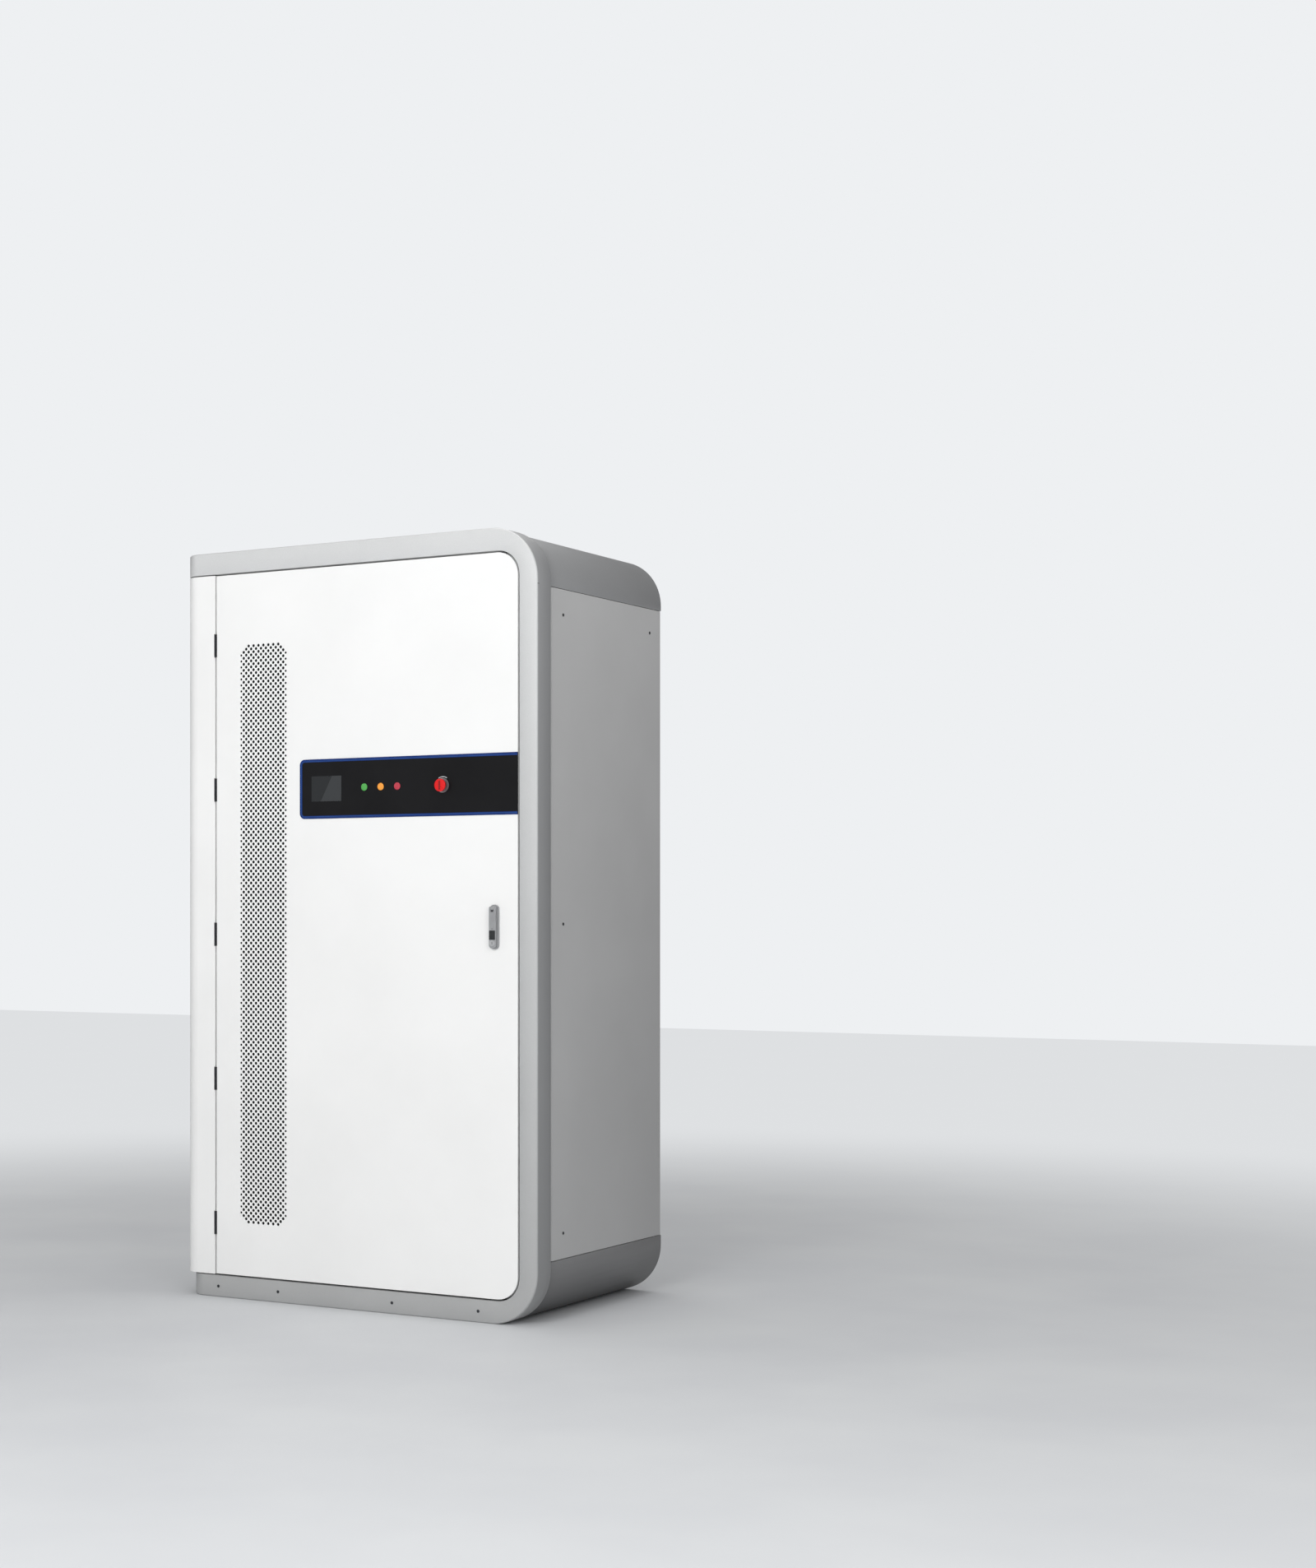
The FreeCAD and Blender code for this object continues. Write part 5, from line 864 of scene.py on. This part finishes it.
def converterFront():
    low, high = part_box("power_converter")
    inset = rimLook["inset"]
    side, under, over = rimLook["window"]
    rim = roundedBlock(low.x + inset, high.x - inset, low.z + inset, high.z - inset, rimLook["corner"])
    window = roundedBlock(low.x + side, high.x - side, low.z + under, high.z - over, rimLook["windowCorner"])
    plate("converterRim", [rim, window], low.y, rimLook, "greyPowderCoat", "cabinet")
    front, z = low.y - rimLook["thick"], high.z - grilleLook["down"]
    for number, x in enumerate((low.x + grilleLook["inset"], high.x - grilleLook["inset"])):
        centre = Vector((x, front, z))
        grille = [circleOutline(centre.x, centre.z, grilleLook["radius"], grilleLook["steps"])]
        for radius, count in grilleLook["rings"]:
            for angle in [2 * math.pi * k / count for k in range(count)]:
                grille.append(circleOutline(centre.x + radius * math.cos(angle), centre.z + radius * math.sin(angle),
                                            *grilleLook["hole"]))
        plate(f"converterGrille{number + 1}", grille, centre.y, grilleLook, "blackNylon", "cabinet")
    for number in range(3):
        x = (low.x + high.x) / 2 + (number - 1) * signalLook["pitch"]
        lathe(f"converterLight{number + 1}", signalLook["lens"], Vector((x, front, z)), *lightTones[number == 0],
              signalLook["segments"])


# Main breaker: a pale cover and a square-socket screw at each end of its poles, and a bezel round the toggle

breakerLook = {"step": 0.012, "poles": 3, "inset": 0.02, "cover": 0.42, "tall": 0.015, "corner": 0.003,
               "hole": 0.0062, "thick": 0.003, "bevel": 0.0005, "segments": 24,
               "screw": [(0.0056, 0), (0.0056, -0.0014), (0.0048, -0.002), (0.0024, -0.002, 4), (0.0023, -0.0006, 4),
                         (0, -0.0006)]}
bezelLook = {"rim": (0.024, 0.036, 0.004), "well": (0.0125, 0.0265, 0.001), "thick": 0.0012, "bevel": 0.0004}


def breakerFront():
    look = breakerLook
    low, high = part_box("main_breaker")
    step = low.y + look["step"]
    pole = (high.x - low.x) / look["poles"]
    for number in range(look["poles"]):
        x = low.x + pole * (number + 0.5)
        for end, z in enumerate((low.z + look["inset"], high.z - look["inset"])):
            cover = blockAt(x, z, pole * look["cover"], look["tall"], look["corner"])
            hole = circleOutline(x, z, look["hole"], look["segments"])
            plate(f"breakerCover{number + 1}_{end + 1}", [cover, hole], step, look, "paleTerminalPlastic", "cabinet")
            lathe(f"breakerScrew{number + 1}_{end + 1}", look["screw"], Vector((x, step, z)),
                  "zincPlatedSteel", "cabinet", "zinc_plated_steel", look["segments"])
    x, z = (low.x + high.x) / 2, (low.z + high.z) / 2
    bezel = [blockAt(x, z, *bezelLook["rim"]), blockAt(x, z, *bezelLook["well"], 2)]
    plate("breakerBezel", bezel, low.y, bezelLook, "paleTerminalPlastic", "cabinet")


# Contactors: three screws at the top and bottom of each, and a pale frame round the position window

contactorLook = {"inset": 0.0085, "pitch": 0.022, "back": 0.03, "rim": (0.012, 0.01, 0.002),
                 "window": (0.009, 0.007, 0.001), "thick": 0.001, "bevel": 0.0003, "segments": 20,
                 "screw": [(0.0046, 0), (0.0046, -0.0012), (0.0038, -0.0018), (0.002, -0.0018, 4),
                           (0.0019, -0.0006, 4), (0, -0.0006)]}


def contactorFronts():
    look = contactorLook
    for number, (low, high) in enumerate(solidsOf("contactors")):
        middle = (low + high) / 2
        for end, z in enumerate((low.z + look["inset"], high.z - look["inset"])):
            for pole in range(3):
                place = Vector((middle.x + (pole - 1) * look["pitch"], low.y + look["back"], z))
                lathe(f"contactorScrew{number + 1}_{end + 1}{pole + 1}", look["screw"], place,
                      "zincPlatedSteel", "cabinet", "zinc_plated_steel", look["segments"])
        window = [blockAt(middle.x, middle.z, *look["rim"]), blockAt(middle.x, middle.z, *look["window"], 2)]
        plate(f"contactorFrame{number + 1}", window, low.y, look, "paleTerminalPlastic", "cabinet")


controlFront()
converterFront()
breakerFront()
contactorFronts()
print("inner fronts done")


# Floor: pale paint that keeps the shadow near the object and fades into the backdrop further out

floorLook = {"size": 14, "colours": ("#d9dbde", "#dfe1e3"), "patch": 0.6, "roughness": 0.75,
             "fade": (1.3, 5.5), "faded": 0.92, "backdrop": "#e3e5e7"}


def paleFloor():
    bm = bmesh.new()
    bmesh.ops.create_grid(bm, x_segments=2, y_segments=2, size=floorLook["size"])
    mesh = bpy.data.meshes.new("paleFloor")
    bm.to_mesh(mesh)
    bm.free()
    material, tree, where = startMaterial("paleFloorPaint")
    colour, patches = tintedNoise(tree, where, floorLook["colours"], floorLook["patch"])
    paint = add(tree, "ShaderNodeBsdfPrincipled", {"Base Color": colour, "Roughness": floorLook["roughness"]})
    near, far = floorLook["fade"]
    distance = add(tree, "ShaderNodeVectorMath", {0: where}, operation="LENGTH")
    fade = add(tree, "ShaderNodeMapRange", {"Value": distance.outputs["Value"], "From Min": near, "From Max": far,
                                            "To Max": floorLook["faded"]}, interpolation_type="SMOOTHSTEP")
    path = add(tree, "ShaderNodeLightPath")
    seen = add(tree, "ShaderNodeMath", {0: path.outputs["Is Camera Ray"], 1: fade.outputs[0]}, operation="MULTIPLY")
    pale = add(tree, "ShaderNodeEmission", {"Color": linear(floorLook["backdrop"])})
    mix = add(tree, "ShaderNodeMixShader", {0: seen.outputs[0], 1: paint.outputs[0], 2: pale.outputs[0]})
    add(tree, "ShaderNodeOutputMaterial", {"Surface": mix.outputs[0]})
    mesh.materials.append(material)
    floor = bpy.data.objects.new("paleFloor", mesh)
    bpy.context.scene.collection.objects.link(floor)


# Room: even light, a pale backdrop, and in reflections a bright wall in front and overhead of a dim room

roomLook = {"light": ("#e6e6e6", 0.55), "backdrop": "#eef0f2", "wall": "#e8e8e8", "sides": "#58585a",
            "mirrored": 0.9, "wallAt": (0, -0.86, 0.5), "wallEdge": (0.66, 0.2)}


def room():
    world = bpy.data.worlds.new("studioWorld")
    bpy.context.scene.world = world
    world.use_nodes = True
    tree = world.node_tree
    tree.nodes.clear()
    colour, strength = roomLook["light"]
    even = add(tree, "ShaderNodeBackground", {"Color": linear(colour), "Strength": strength})
    seen = add(tree, "ShaderNodeBackground", {"Color": linear(roomLook["backdrop"])})
    ray = add(tree, "ShaderNodeTexCoord").outputs["Generated"]
    way = add(tree, "ShaderNodeVectorMath", {0: ray, 1: roomLook["wallAt"]}, operation="DOT_PRODUCT")
    inside, outside = roomLook["wallEdge"]
    beside = add(tree, "ShaderNodeMapRange", {"Value": way.outputs["Value"], "From Min": inside,
                                              "From Max": outside}, interpolation_type="SMOOTHSTEP")
    tone = add(tree, "ShaderNodeMix", {0: beside.outputs[0], 6: linear(roomLook["wall"]),
                                       7: linear(roomLook["sides"])}, data_type="RGBA")
    mirrored = add(tree, "ShaderNodeBackground", {"Color": tone.outputs[2], "Strength": roomLook["mirrored"]})
    path = add(tree, "ShaderNodeLightPath").outputs
    lit = add(tree, "ShaderNodeMixShader", {0: path["Is Glossy Ray"], 1: even.outputs[0], 2: mirrored.outputs[0]})
    shown = add(tree, "ShaderNodeMixShader", {0: path["Is Camera Ray"], 1: lit.outputs[0], 2: seen.outputs[0]})
    add(tree, "ShaderNodeOutputWorld", {"Surface": shown.outputs[0]})


# Lamps: soft discs; the wall in the room stands for the two front ones in reflections

lightLook = {
    "keyLight": {"place": (1.0, -6.2, 2.7), "aim": (0, -0.2, 1.05), "size": 3.6, "power": 184, "mirrored": False},
    "fillLight": {"place": (4.4, -4.0, 2.2), "aim": (0.5, 0, 1.1), "size": 2.4, "power": 55, "mirrored": False},
    "topLight": {"place": (0.2, 0.6, 5.2), "aim": (0, 0, 1.2), "size": 3.4, "power": 40, "mirrored": True},
}


def softLights():
    for name, look in lightLook.items():
        light = bpy.data.lights.new(name, "AREA")
        light.shape = "DISK"
        light.size = look["size"]
        light.energy = look["power"]
        obj = bpy.data.objects.new(name, light)
        bpy.context.scene.collection.objects.link(obj)
        obj.location = look["place"]
        obj.visible_glossy = look["mirrored"]
        obj.rotation_euler = (Vector(look["aim"]) - Vector(look["place"])).to_track_quat("-Z", "Y").to_euler()


# Camera: level, at the photograph's angle, with the shift that its framing needs

cameraLook = {"place": (3.5865, -5.8139, 1.0427), "turn": (90, 0, 31.44), "lens": 57.73, "sensor": 36,
              "shift": (0.1434, 0.0796)}


def photoCamera():
    camera = bpy.data.cameras.new("photoCamera")
    camera.sensor_width = cameraLook["sensor"]
    camera.lens = cameraLook["lens"]
    camera.shift_x, camera.shift_y = cameraLook["shift"]
    obj = bpy.data.objects.new("photoCamera", camera)
    bpy.context.scene.collection.objects.link(obj)
    obj.location = cameraLook["place"]
    obj.rotation_euler = [math.radians(angle) for angle in cameraLook["turn"]]
    bpy.context.scene.camera = obj


paleFloor()
room()
softLights()
photoCamera()
bpy.context.scene.view_settings.view_transform = "Standard"
print("studio done")
